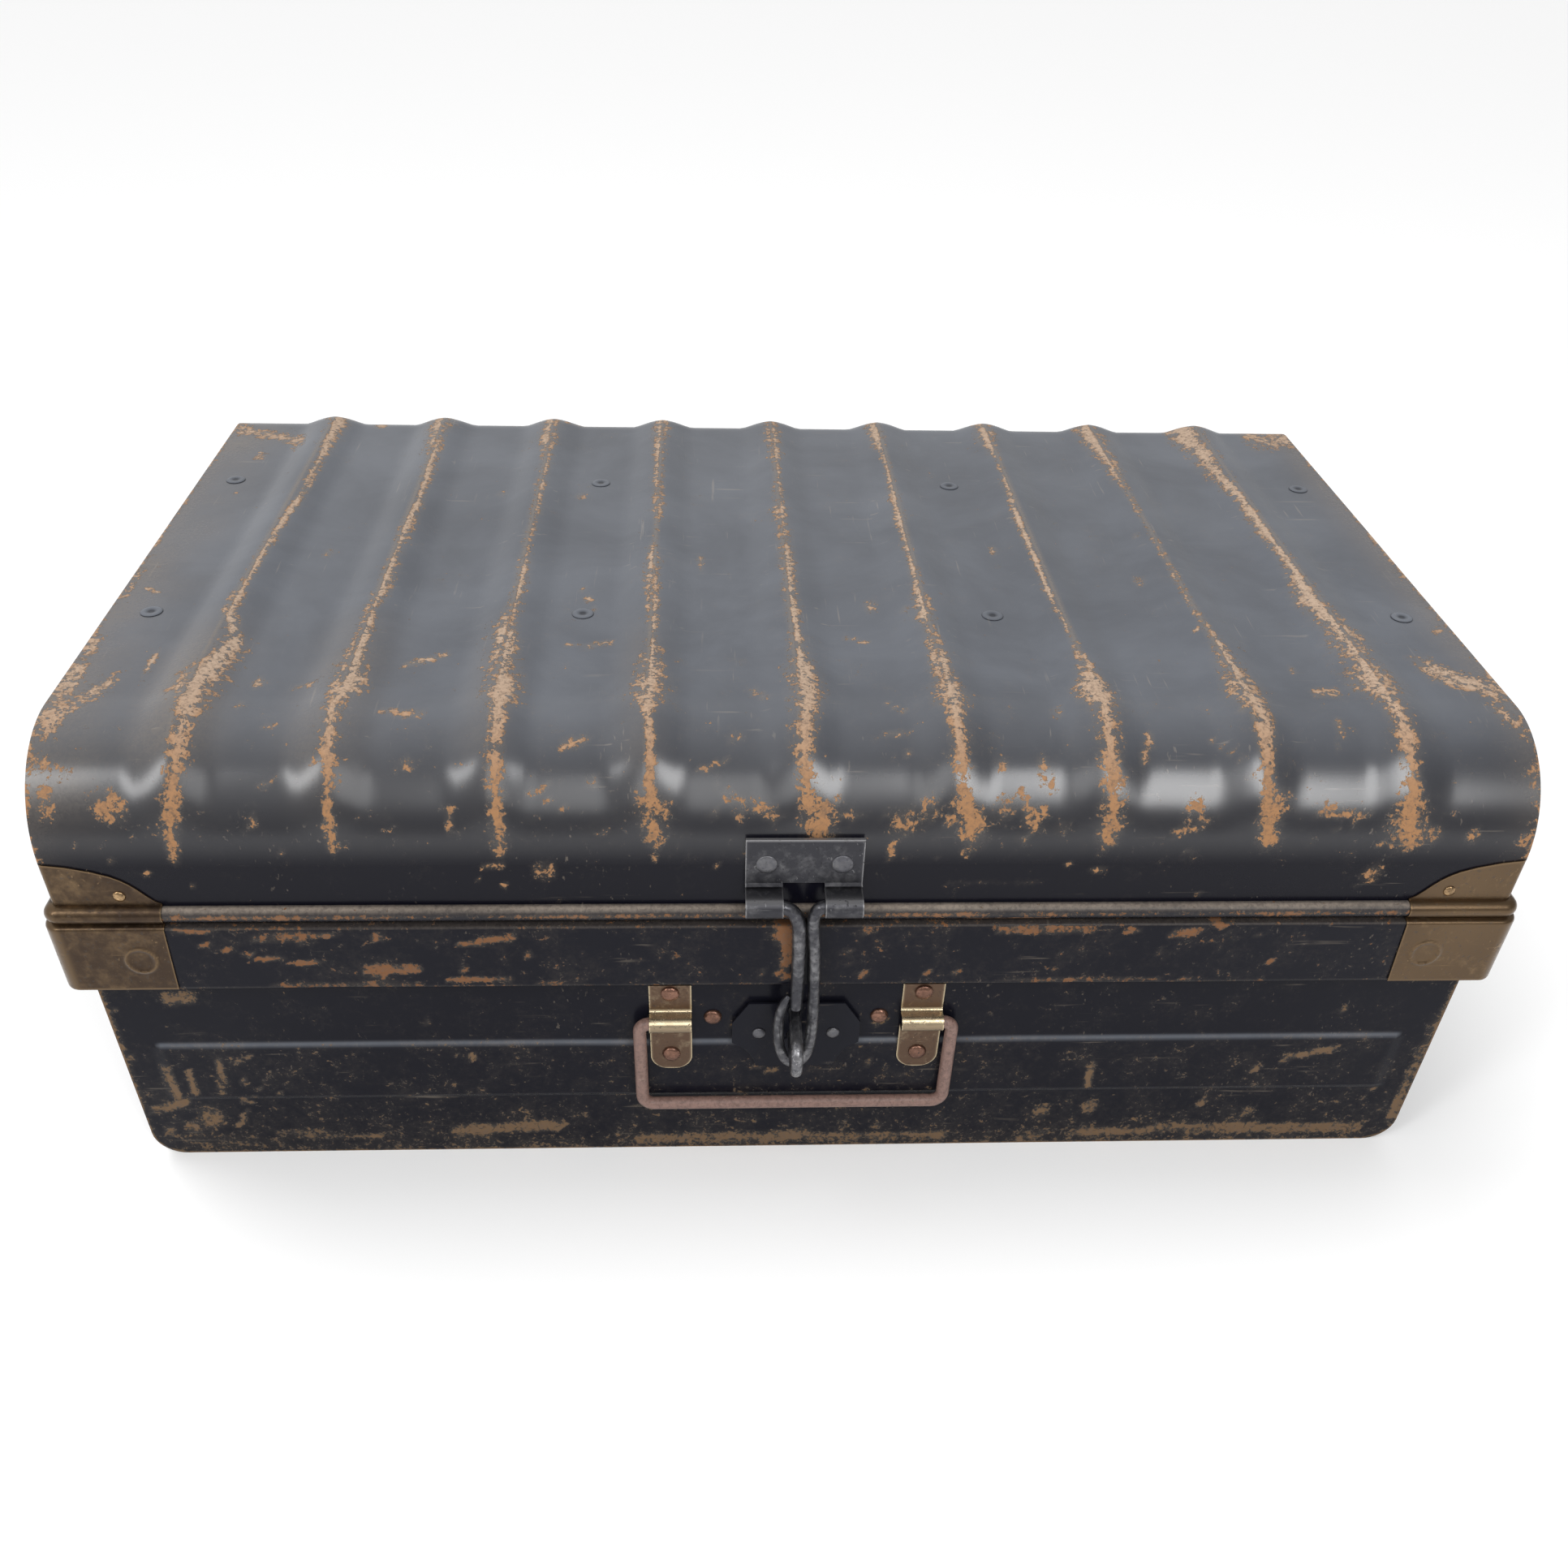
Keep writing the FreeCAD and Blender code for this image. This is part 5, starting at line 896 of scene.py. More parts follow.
class TRUNK_OT_lid_shell(bpy.types.Operator):
    """Lid sheet with its pressed ribs, and the two end sheets"""
    bl_idname = "trunk.lid_shell"
    bl_label = "Lid shell"

    def execute(self, context):
        sizes = context.scene.trunk_sizes
        half = LID_HIGH[0]
        runs = np.linspace(0.0, lid_run(sizes)[4], LID_ROWS)
        crests = (np.arange(sizes.rib_count) - (sizes.rib_count - 1) / 2) * sizes.rib_pitch
        fine = np.array((-0.0040, -0.0026, -0.0013, 0.0, 0.0013, 0.0026, 0.0040))
        spaced = np.linspace(-half, half, LID_COLUMNS)
        spaced = spaced[np.min(np.abs(spaced[:, None] - crests), axis=1) > 0.0052]
        columns = np.sort(np.concatenate([spaced, (crests[:, None] + fine).ravel()]))
        profile = np.array([lid_point(run, sizes) for run in runs])
        points = np.zeros((len(runs), len(columns), 3))
        points[:, :, 0] = columns
        points[:, :, 1:] = profile[:, None, :2]
        shape = points.shape[:2]
        flat = bpy.data.meshes.new("lid_sheet")
        flat.from_pydata(points.reshape(-1, 3).tolist(), [], quads(*shape).tolist())
        press = np.clip(1 - sizes.rib_sink / sizes.rib_height * (1 - np.cos(profile[:, 2])), -0.3, 1)
        press = 0.5 * (press + np.sqrt(press ** 2 + 0.02)) - 0.005
        store(flat, "press", np.repeat(press, len(columns)))
        pressed = from_nodes(flat, pressed_ribs(), {
            "Ribs": sizes.rib_count, "Pitch": sizes.rib_pitch, "Width": sizes.rib_width,
            "Height": sizes.rib_height - sizes.rib_crease - 0.00006, "Crease": sizes.rib_crease,
            "Dents": sizes.dent_depth, "Seed": 4.0, "Finish": Finishes.get("lid_enamel")})
        moved = np.empty(len(pressed.vertices) * 3)
        pressed.vertices.foreach_get("co", moved)
        points = moved.reshape(*shape, 3)
        points[:, :, 2] = np.minimum(points[:, :, 2], LID_HIGH[2])
        points[:, :, 1] = np.clip(points[:, :, 1], LID_LOW[1] - 0.004, LID_HIGH[1] + 0.004)
        across = np.broadcast_to(columns / MM, shape)
        along = np.broadcast_to(runs[:, None] / MM, shape)
        wear = self.rib_wear(across, along, sizes)
        stretch = np.interp(along, *LID_STRETCH)
        wear = np.maximum(wear, 0.58 * worn(across, along, LID_MARKS, stretch))
        ends = half / MM - np.abs(across)
        wear = np.maximum(wear, 0.50 * np.exp(-(ends / 3.5) ** 2))
        wear = np.maximum(wear, worn(across, along,
                                     scattered_marks(5, 60, (-300, 300), (408, 490), 0.7, 5.0)) * 0.7)
        wear = np.maximum(wear, np.interp(along, *LID_WEAR))
        lean = np.broadcast_to(np.cos(profile[:, 2])[:, None], shape)
        # Bloom share along the lid, less where the sheet turns down the front: partly real bloom, partly
        # painted sheen of the lit upper faces.
        bloom_and_sheen = 0.004 + np.interp(along, *LID_BLOOM_AND_SHEEN)
        bloom_and_sheen = bloom_and_sheen * lean ** 0.5
        film = 0.45 * np.exp(-(ends / 12.0) ** 2) * (0.3 + 0.7 * lean)
        crests = np.min(np.abs(across[:, :, None] - crests / MM), axis=2)
        # A thin pale line along each crest on the top: partly rubbed film, partly a painted highlight.
        film = np.maximum(film, 0.75 * np.exp(-(crests / 1.3) ** 2) * np.interp(along, *CREST_SHEEN_AND_FILM))
        lumps = lumps_at(points.reshape(-1, 3), 45.0, 6).reshape(shape)
        shoulder = np.interp(along, *SHOULDER_FILM)
        for centre, wide, much in RIB_FILM:
            beside = np.exp(-((across - centre + 2) / wide) ** 2)
            film = np.maximum(film, much * shoulder * beside * (0.35 + 1.1 * lumps))
        left = np.exp(-((across + half / MM) / 26.0) ** 2) * np.interp(along, *LEFT_FILM)
        film = np.clip(np.maximum(film, 0.60 * left * (0.2 + 1.4 * lumps)), 0, 1)
        polish = np.interp(along, *LID_POLISH)
        mesh = thick_sheet("lid_sheet", points, sizes.sheet,
                           {"wear": wear, "bloom_and_sheen": bloom_and_sheen, "film": film, "polish": polish})
        set_piece("lid_shell", mesh, ("lid_enamel", "inside_coat"), "lid", ("lid_wrap",))
        for side, node in ((-1, "lid_left_end"), (1, "lid_right_end")):
            self.end_sheet(side, node, sizes)
        return {"FINISHED"}

    def rib_wear(self, across, along, sizes):
        """Wear along the ribs' crests, from the table, wider where the ribs turn over the front."""
        level = np.zeros(across.shape)
        for index, line in enumerate(RIB_WEAR):
            table = np.array(line[::-1], dtype=float)
            centre = (index - (len(RIB_WEAR) - 1) / 2) * sizes.rib_pitch / MM
            off = across - centre - np.interp(along, table[:, 0], table[:, 1])
            width = np.interp(along, table[:, 0], table[:, 2])
            fade = np.interp(along, (table[0, 0] - 14, table[0, 0] - 4, 420, 450), (0.0, 1.0, 1.0, 0.0))
            crest = 0.50 * np.exp(-((across - centre) / 1.0) ** 2) * np.interp(along, (90, 140), (0.0, 1.0))
            core = 0.72 * np.exp(-0.7 * (off / width / 0.42) ** 2)
            fringe = 0.57 * np.exp(-0.7 * (off / width / 1.02) ** 2)
            level = np.maximum(level, np.maximum(core, fringe) * fade * (1 - crest))
        return level

    def end_sheet(self, side, node, sizes):
        """One flat end sheet inside the lid's bends."""
        low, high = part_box(node)
        front, rear = sizes.front_bend - sizes.sheet, sizes.rear_bend - sizes.sheet
        heights = np.linspace(low[2], high[2], END_ROWS)
        points = np.zeros((END_ROWS, END_COLUMNS, 3))
        for row, z in enumerate(heights):
            ahead = low[1] + front - math.sqrt(max(front ** 2 - max(z - (high[2] - front), 0.0) ** 2, 0.0))
            behind = high[1] - rear + math.sqrt(max(rear ** 2 - max(z - (high[2] - rear), 0.0) ** 2, 0.0))
            points[row, :, 1] = np.linspace(ahead, behind, END_COLUMNS)[::side]
            points[row, :, 2] = z
        dents = lumps_at(points.reshape(-1, 3), 12.0, 3 + side).reshape(points.shape[:2])
        points[:, :, 0] = side * (high[0] if side > 0 else -low[0]) - side * 0.0003 * dents
        y, z = points[:, :, 1] / MM, points[:, :, 2] / MM
        wear = np.maximum(0.7 * worn(y, z, scattered_marks(11 + side, 46, (-180, 180), (150, 222), 0.7, 5.5)),
                          0.09)
        top = np.interp(y, *LID_OUTLINE)
        wear = np.maximum(wear, 0.6 * np.exp(-((top - z) / 4.0) ** 2))
        mesh = thick_sheet(node, points, sizes.sheet, {"wear": wear, "bloom_and_sheen": np.full(y.shape, 0.02)})
        set_piece("end_sheet_left" if side < 0 else "end_sheet_right", mesh, ("lid_enamel", "inside_coat"),
                  "lid", (node,))


def ring_path(reach, corner, step):
    """Points round the lid in plan at a distance from its walls, from its front right corner leftward.

    Gives places, and for each the side it lies on: 0 front, 1 left, 2 back, 3 right."""
    half_x, half_y = LID_HIGH[0], LID_HIGH[1]
    places, sides = [], []
    turns = ((1, -1), (-1, -1), (-1, 1), (1, 1))
    outward = np.array(((0, -1), (-1, 0), (0, 1), (1, 0)), dtype=float)
    for side in range(4):
        (ax, ay), (bx, by) = turns[side], turns[(side + 1) % 4]
        start = np.array((ax * (half_x - corner), ay * (half_y - corner)))
        end = np.array((bx * (half_x - corner), by * (half_y - corner)))
        out, next_out = outward[side], outward[(side + 1) % 4]
        long = int(round(np.linalg.norm(end - start) / step))
        for share in np.linspace(0.0, 1.0, long):
            places.append(start + (end - start) * share + out * (corner + reach))
            sides.append(side)
        for share in np.linspace(0.0, 1.0, 7)[1:-1]:
            turn = share * math.pi / 2
            places.append(end + (out * math.cos(turn) + next_out * math.sin(turn)) * (corner + reach))
            sides.append(side)
    return np.array(places), np.array(sides)


def arc(centre, radius, start, end, count):
    """Points of an arc in a section, by angles in degrees from straight out."""
    turns = np.radians(np.linspace(start, end, count))
    return [(centre[0] + radius * math.cos(turn), centre[1] + radius * math.sin(turn)) for turn in turns]


class TRUNK_OT_lid_rim(bpy.types.Operator):
    """Bead, ledge and skirt round the lid, in one ring"""
    bl_idname = "trunk.lid_rim"
    bl_label = "Lid rim"

    def execute(self, context):
        sizes = context.scene.trunk_sizes
        reach, sheet = sizes.skirt_reach, sizes.sheet
        bottom = RIM_LOW[2]
        fold, hem_up, hem_in, wave_depth = 0.0012, 0.0004, 0.0002, 0.0006
        bead = (sheet, sizes.bead_height)
        meet = math.degrees(math.acos(-bead[0] / sizes.bead_radius))
        section = arc(bead, sizes.bead_radius, meet, -meet, BEAD_POINTS)
        section += [(0.0002, sizes.ledge_height)]
        section += [(share * (reach - fold), sizes.ledge_height) for share in (0.35, 0.7)]
        section += arc((reach - fold, sizes.ledge_height - fold), fold, 90, 0, 5)
        section += [(reach, z) for z in np.linspace(sizes.ledge_height - 0.004, bottom + 0.0016, 12)]
        section += [(reach, bottom + hem_up), (reach - hem_in, bottom), (reach - sheet + hem_in, bottom),
                    (reach - sheet, bottom + hem_up)]
        section += [(reach - sheet, z)
                    for z in (bottom + 0.008, bottom + 0.018, sizes.ledge_height - 2 * sheet)]
        section += [(reach - 2 * sheet, sizes.ledge_height - sheet), (0.0, sizes.ledge_height - sheet)]
        rings = []
        for out, z in section:
            places, sides = ring_path(out, corner=0.0015, step=0.0031)
            rings.append(np.column_stack([places, np.full(len(places), z)]))
        points = np.array(rings)
        out = np.array([part[0] for part in section])[:, None]
        height = points[:, :, 2]
        wave = lumps_at(points[0], 16.0, 9)[None, :]
        droop = np.clip((sizes.ledge_height - height) / (sizes.ledge_height - bottom), 0, 1) * (out > 0.003)
        inward = np.array(((0, 1), (1, 0), (0, -1), (-1, 0)), dtype=float)[sides]
        points[:, :, :2] += inward[None] * (wave_depth * wave * droop)[:, :, None]
        shape = points.shape[:2]
        x, y, z = points[:, :, 0] / MM, points[:, :, 1] / MM, height / MM
        side = np.broadcast_to(sides, shape)
        along = np.where((side == 0) | (side == 2), x, y)
        other = worn(along, z, scattered_marks(21, 70, (-300, 300), (117, 150), 0.7, 4.0))
        wear = 0.84 * np.where(side == 0, worn(x, z, SKIRT_MARKS, 0.9), other)
        on_bead = (np.arange(shape[0]) < BEAD_POINTS)[:, None]
        turn = np.zeros(shape[0])
        turn[:BEAD_POINTS] = np.radians(np.linspace(meet, -meet, BEAD_POINTS))
        patchy = 0.6 + 0.8 * lumps_at(points[0], 20.0, 2)[None, :]
        low_side = np.where(on_bead, np.exp(-((turn - 0.05) / 0.50) ** 2)[:, None], 0.0)
        wear = np.maximum(wear, 0.52 * low_side * patchy)
        wear = np.maximum(wear, np.where(on_bead, 0.0, 0.40 * np.exp(-((z - 115.0) / 1.2) ** 2)))
        wear = np.maximum(wear, np.where(on_bead, 0.0, 0.36 * np.exp(-((z - 148.0) / 1.0) ** 2) * patchy))
        wear = np.maximum(wear, 0.21)
        # On the bead the film is strongest on its upper side: partly rubbed, partly a painted highlight on
        # the bead's lit top. The thin line just under the ledge is a painted highlight on the skirt's rounded
        # top edge, and the bead's higher bloom share is painted sheen.
        film = np.where(on_bead, 0.10 + 0.80 * np.exp(-((turn - 1.15) / 0.62) ** 2)[:, None], 0.0)
        film = np.maximum(film * (0.55 + 0.45 * patchy), np.where(np.abs(z - 148.3) < 0.6, 0.30, 0.0))
        bloom_and_sheen = np.where(on_bead, 0.05, 0.012) + np.zeros(shape)
        faces = quads(*shape, wrap_rows=True, wrap_columns=True)
        mesh = bpy.data.meshes.new("lid_rim")
        mesh.from_pydata(points.reshape(-1, 3).tolist(), [], faces.tolist())
        for label, value in (("wear", wear), ("bloom_and_sheen", bloom_and_sheen), ("film", film)):
            store(mesh, label, value)
        set_piece("lid_rim", mesh, ("rim_enamel",), "lid",
                  ("lid_rim_front", "lid_rim_left", "lid_rim_back", "lid_rim_right"), sharp=55.0)
        return {"FINISHED"}


class TRUNK_OT_corner_caps(bpy.types.Operator):
    """Four brass caps folded over the lid's corners"""
    bl_idname = "trunk.corner_caps"
    bl_label = "Corner caps"

    def execute(self, context):
        sizes = context.scene.trunk_sizes
        for corner, (sx, sy) in enumerate(((-1, -1), (1, -1), (1, 1), (-1, 1))):
            node = "corner_cap_" + ("front" if sy < 0 else "back") + ("_left" if sx < 0 else "_right")
            self.cap(sizes, node, sx, sy, corner)
        return {"FINISHED"}

    def cap(self, sizes, node, sx, sy, seed):
        """One cap: a grid that follows the rim's section, wrapped round the corner."""
        skin, leaf = sizes.cap_sheet, sizes.cap_leaf
        reach = sizes.skirt_reach + skin
        bead = (sizes.sheet, sizes.bead_height)
        round_bead = sizes.bead_radius + skin
        bottom = RIM_LOW[2]
        ledge_fold = 0.0018
        start = math.degrees(math.acos((skin - bead[0]) / round_bead))
        lower = arc(bead, round_bead, start, -58, 16)
        lower += [(0.0036, sizes.ledge_height + 0.0009)]
        lower += arc((reach - ledge_fold, sizes.ledge_height + skin - ledge_fold), ledge_fold, 90, 0, 6)
        lower += [(reach, z) for z in np.linspace(sizes.ledge_height - 0.0026, bottom + 0.0008, 40)]
        lower += [(reach - 0.0001, bottom + 0.0002)]
        wall_rows, fold = 16, 0.0016
        straight = np.linspace(leaf, fold, 52)
        turns = np.linspace(0.0, math.pi / 2, 11)[1:-1]
        brow_x = np.array((0.0, 0.010, 0.020, 0.0265, 0.030, 0.033, 0.036, 0.039, 0.0415, 0.044))
        brow_z = sizes.cap_shoulder + np.array((0.0065, 0.0052, 0.0028, 0.0005, -0.0014, -0.0036,
                                                -0.0065, -0.0099, -0.0124, -0.0138))
        brow_z = np.maximum(np.minimum(brow_z, sizes.cap_top), lower[0][1] + 0.0003)
        columns = [(distance, 0.0) for distance in straight] + [(0.0, turn) for turn in turns]
        columns += [(distance, math.pi / 2) for distance in straight[::-1]]
        half = np.array((LID_HIGH[0], LID_HIGH[1]))
        points = np.zeros((wall_rows + len(lower), len(columns), 3))
        apart = np.zeros(points.shape[:2])
        # Along the first wall to the corner, round it, and along the second wall.
        first = np.array((0.0, sy)) if sx * sy > 0 else np.array((sx, 0.0))
        second = np.array((sx, 0.0)) if sx * sy > 0 else np.array((0.0, sy))
        hub = np.array((sx, sy)) * (half - fold)
        for column, (distance, turn) in enumerate(columns):
            top = np.interp(distance, brow_x, brow_z)
            upper = [(skin, z) for z in np.linspace(top, lower[0][1], wall_rows + 1)[:-1]]
            out = first * math.cos(turn) + second * math.sin(turn)
            back = (second if turn == 0.0 else first) if distance else np.zeros(2)
            for row, (off, z) in enumerate(upper + lower):
                taper = 1.0 - 0.035 * max(0.0, (sizes.ledge_height - z) / (sizes.ledge_height - bottom))
                base = hub - back * max(distance * taper - fold, 0.0)
                place = base + out * (fold + off)
                points[row, column] = (place[0], place[1], z)
                apart[row, column] = distance
        flat = points.reshape(-1, 3)
        uneven = (lumps_at(flat, 75.0, 3 + seed) - 0.5).reshape(points.shape[:2])
        normals = grid_normals(points)
        ring = np.hypot(apart - 0.0315, points[:, :, 2] - 0.13175)
        ring = np.where(apart > 0.0, ring, 1.0)
        lift = 0.00075 * np.exp(-((ring - 0.0062) / 0.0008) ** 2) - 0.00010 * (uneven + 0.5)
        points += normals * lift[:, :, None]
        points[:, :, 0] = np.clip(points[:, :, 0], CAD_BOX[0][0] + 0.00002, CAD_BOX[1][0] - 0.00002)
        mesh = thick_sheet(node, points, skin * 0.98, {})
        edge = np.zeros(points.shape[:2])
        edge[:1], edge[-2:], edge[:, :1], edge[:, -1:] = 1.0, 0.7, 1.0, 1.0
        edge = np.maximum(edge, np.exp(-(apart / 0.0022) ** 2) * 0.55)
        # The embossed ring is rubbed bright and also carries a painted highlight along it.
        edge = np.maximum(edge, np.exp(-((ring - 0.0064) / 0.0006) ** 2) * 0.8)
        # The caps on the right are brighter all over, in slow patches.
        if sx > 0:
            edge = np.maximum(edge, 0.55 * lumps_at(flat, 30.0, seed).reshape(edge.shape) + 0.25)
        store(mesh, "edge", np.concatenate([edge.ravel(), np.zeros(edge.size)]))
        set_piece(node.replace("corner_cap", "brass_corner"), mesh, ("corner_brass", "corner_brass"), "lid",
                  (node,), sharp=50.0)


class TRUNK_OT_body_shell(bpy.types.Operator):
    """Bottom and ends in one bent sheet, with the front and back panels let in"""
    bl_idname = "trunk.body_shell"
    bl_label = "Body shell"

    def execute(self, context):
        sizes = context.scene.trunk_sizes
        self.wrap(sizes)
        self.panel(sizes, -1, "body_front_panel")
        self.panel(sizes, 1, "body_back_panel")
        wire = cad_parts["body_rim_wire"]
        wire.data.materials.clear()
        wire.data.materials.append(Finishes.get("fitting_enamel"))
        return {"FINISHED"}

    def wrap(self, sizes):
        """The bent sheet: left end, rounded corner, bottom, rounded corner, right end."""
        half, top, corner = BODY_HIGH[0], BODY_HIGH[2], sizes.body_corner
        turns = np.radians(np.linspace(0, 90, 10))
        left = [(-half, z) for z in np.linspace(top, corner, 44)]
        left += [(-half + corner * (1 - math.cos(turn)), corner * (1 - math.sin(turn))) for turn in turns[1:]]
        flat = [(x, 0.0) for x in np.linspace(-half + corner, half - corner, 70)[1:-1]]
        section = np.array(left + flat + [(-x, z) for x, z in left[::-1]])
        deep = BODY_HIGH[1]
        by_edge, inner = np.array((0.0, 0.0006, 0.0018)), 0.004
        across = np.concatenate([by_edge - deep, np.linspace(-deep + inner, deep - inner, 96),
                                 deep - by_edge[::-1]])
        points = np.zeros((len(section), len(across), 3))
        points[:, :, 0], points[:, :, 2] = section[:, :1], section[:, 1:]
        points[:, :, 1] = across
        shape = points.shape[:2]
        normals = grid_normals(points)
        dents = lumps_at(points.reshape(-1, 3), 11.0, 6).reshape(shape)
        ends = np.clip((deep - np.abs(points[:, :, 1])) / 0.02, 0, 1) * (points[:, :, 2] > 0.004)
        points -= normals * (0.0005 * dents * ends)[:, :, None]
        y, z = points[:, :, 1] / MM, points[:, :, 2] / MM
        left_end, right_end = (worn(y, z, scattered_marks(seed, 64, (-178, 178), (6, 112), 0.7, 4.6))
                               for seed in (31, 34))
        wear = np.maximum(0.66 * np.where(points[:, :, 0] < 0, left_end, right_end),
                          0.60 * np.exp(-((deep / MM - np.abs(y)) / 1.6) ** 2))
        wear = np.maximum(wear, np.interp(z, *END_WEAR))
        mesh = thick_sheet("body_wrap", points, sizes.sheet, {"wear": wear, "bloom_and_sheen": np.full(shape, 0.012)})
        set_piece("body_bent_sheet", mesh, ("body_enamel", "inside_coat"), "body",
                  ("body_wrap",))

    def panel(self, sizes, side, node):
        """One panel with its raised band."""
        low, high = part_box(node)
        half, corner = high[0], sizes.body_corner - sizes.sheet
        face = abs(low[1] if side < 0 else high[1]) - sizes.band_proud
        heights = set(np.linspace(low[2], high[2], PANEL_ROWS))
        for edge in (sizes.band_low, sizes.band_high):
            heights |= set(edge + np.linspace(-0.004, 0.004, 13))
        heights = np.array(sorted(heights))
        columns = np.linspace(-1.0, 1.0, PANEL_COLUMNS) * -side
        points = np.zeros((len(heights), len(columns), 3))
        for row, z in enumerate(heights):
            under = max(low[2] + corner - z, 0.0)
            points[row, :, 0] = columns * (half - corner + math.sqrt(max(corner ** 2 - under ** 2, 0.0)))
            points[row, :, 2] = z
        x, z = points[:, :, 0], points[:, :, 2]
        foot, slope, band_inset = 0.0012, 0.0026, 0.0150
        band = ease((z - sizes.band_low + foot) / slope) * ease((sizes.band_high - z + foot) / slope)
        band = band * ease((half - band_inset - np.abs(x)) / slope)
        dents = lumps_at(points.reshape(-1, 3), 9.0, 12 + side).reshape(x.shape)
        ends = np.clip((half - np.abs(x)) / 0.02, 0, 1) * np.clip((z - low[2]) / 0.012, 0, 1)
        # The sheet is true where the staple and the handle are riveted to it.
        fittings_x, fittings_z, fittings_reach = 0.002, 0.085, 0.085
        ends = ends * np.clip((np.hypot(x - fittings_x, z - fittings_z) - fittings_reach) / 0.02, 0, 1)
        points[:, :, 1] = side * (face + sizes.band_proud * band * 0.985 - 0.0005 * dents * ends)
        x, z = x / MM, z / MM
        marks = BODY_MARKS if side < 0 else scattered_marks(41, 90, (-298, 298), (4, 114), 0.7, 5.0)
        wear = 0.70 * worn(x, z, marks)
        wear = np.maximum(wear, 0.46 * np.exp(-((half / MM - np.abs(x)) / 2.0) ** 2))
        wear = np.maximum(wear, 0.24 * np.exp(-((z - sizes.band_high / MM) / 1.2) ** 2))
        wear = np.maximum(wear, np.interp(z, *PANEL_WEAR))
        on_band = np.abs(x) < half / MM - 15
        # A pale line of bloom along the band's upper edge is a painted highlight.
        bloom_and_sheen = 0.010 + 0.42 * np.exp(-((z - sizes.band_high / MM - 0.3) / 1.1) ** 2) * on_band
        mesh = thick_sheet(node, points, sizes.sheet, {"wear": wear, "bloom_and_sheen": bloom_and_sheen})
        set_piece(node + "_sheet", mesh, ("body_enamel", "inside_coat"), "body", (node,))


def rivet_heads():
    """Geometry nodes: a domed head and a flat tail at each point, facing the way the point says."""
    tree, given, made = new_shape("rivet_heads", (
        ("Head Radius", "Float"), ("Head Height", "Float"), ("Dimple", "Float"), ("Grip", "Float"),
        ("Tail Radius", "Float"), ("Tail Height", "Float"), ("Seed", "Int")))
    ball = put(tree, "GeometryNodeMeshUVSphere", {"Segments": 24, "Rings": 14, "Radius": 1.0}).outputs[0]
    place = put(tree, "GeometryNodeInputPosition").outputs[0]
    parts = put(tree, "ShaderNodeSeparateXYZ", {0: place}).outputs
    wide = sums(tree, "SQRT", sums(tree, "ADD", sums(tree, "MULTIPLY", parts[0], parts[0]),
                                   sums(tree, "MULTIPLY", parts[1], parts[1])))
    crown = sums(tree, "POWER", sums(tree, "MAXIMUM", parts[2], 0.0), 0.8)
    dip = sums(tree, "MULTIPLY", spread(tree, wide, 0.62, 0.28), given["Dimple"])
    crown = sums(tree, "MULTIPLY", sums(tree, "SUBTRACT", crown, dip), given["Head Height"])
    lumps = put(tree, "ShaderNodeTexNoise", {"Vector": place, "Scale": 1.7, "Detail": 1.0}).outputs[0]
    crown = sums(tree, "MULTIPLY", crown, sums(tree, "MULTIPLY_ADD", lumps, -0.25, 1.0))
    under = sums(tree, "MULTIPLY", sums(tree, "LESS_THAN", parts[2], -0.05), -0.0002)
    shaped = put(tree, "ShaderNodeCombineXYZ", {0: sums(tree, "MULTIPLY", parts[0], given["Head Radius"]),
                                                1: sums(tree, "MULTIPLY", parts[1], given["Head Radius"]),
                                                2: sums(tree, "ADD", crown, under)}).outputs[0]
    head = put(tree, "GeometryNodeSetPosition", {"Geometry": ball, "Position": shaped}).outputs[0]
    disc = put(tree, "GeometryNodeMeshCylinder", {"Vertices": 18, "Radius": given["Tail Radius"],
                                                  "Depth": given["Tail Height"]}).outputs[0]
    below = sums(tree, "MULTIPLY_ADD", given["Tail Height"], 0.5, given["Grip"])
    drop = put(tree, "ShaderNodeCombineXYZ", {2: sums(tree, "MULTIPLY", below, -1.0)}).outputs[0]
    tail = put(tree, "GeometryNodeTransform", {"Geometry": disc, "Translation": drop}).outputs[0]
    both = put(tree, "GeometryNodeJoinGeometry")
    tree.links.new(head, both.inputs[0])
    tree.links.new(tail, both.inputs[0])
    facing = put(tree, "GeometryNodeInputNamedAttribute", {"Name": "facing"},
                 data_type="FLOAT_VECTOR").outputs[0]
    aim = put(tree, "FunctionNodeAlignRotationToVector", {"Vector": facing}, axis="Z").outputs[0]
    spin = put(tree, "FunctionNodeRandomValue", {"Min": (0.0, 0.0, 0.0), "Max": (0.0, 0.0, 6.28),
                                                 "Seed": given["Seed"]}, data_type="FLOAT_VECTOR").outputs[0]
    turn = put(tree, "FunctionNodeRotateRotation", {"Rotation": aim, "Rotate By": spin},
               rotation_space="LOCAL").outputs[0]
    many = put(tree, "GeometryNodeInstanceOnPoints",
               {"Points": given["Geometry"], "Instance": both.outputs[0], "Rotation": turn}).outputs[0]
    return hand_over(tree, many, given, made)


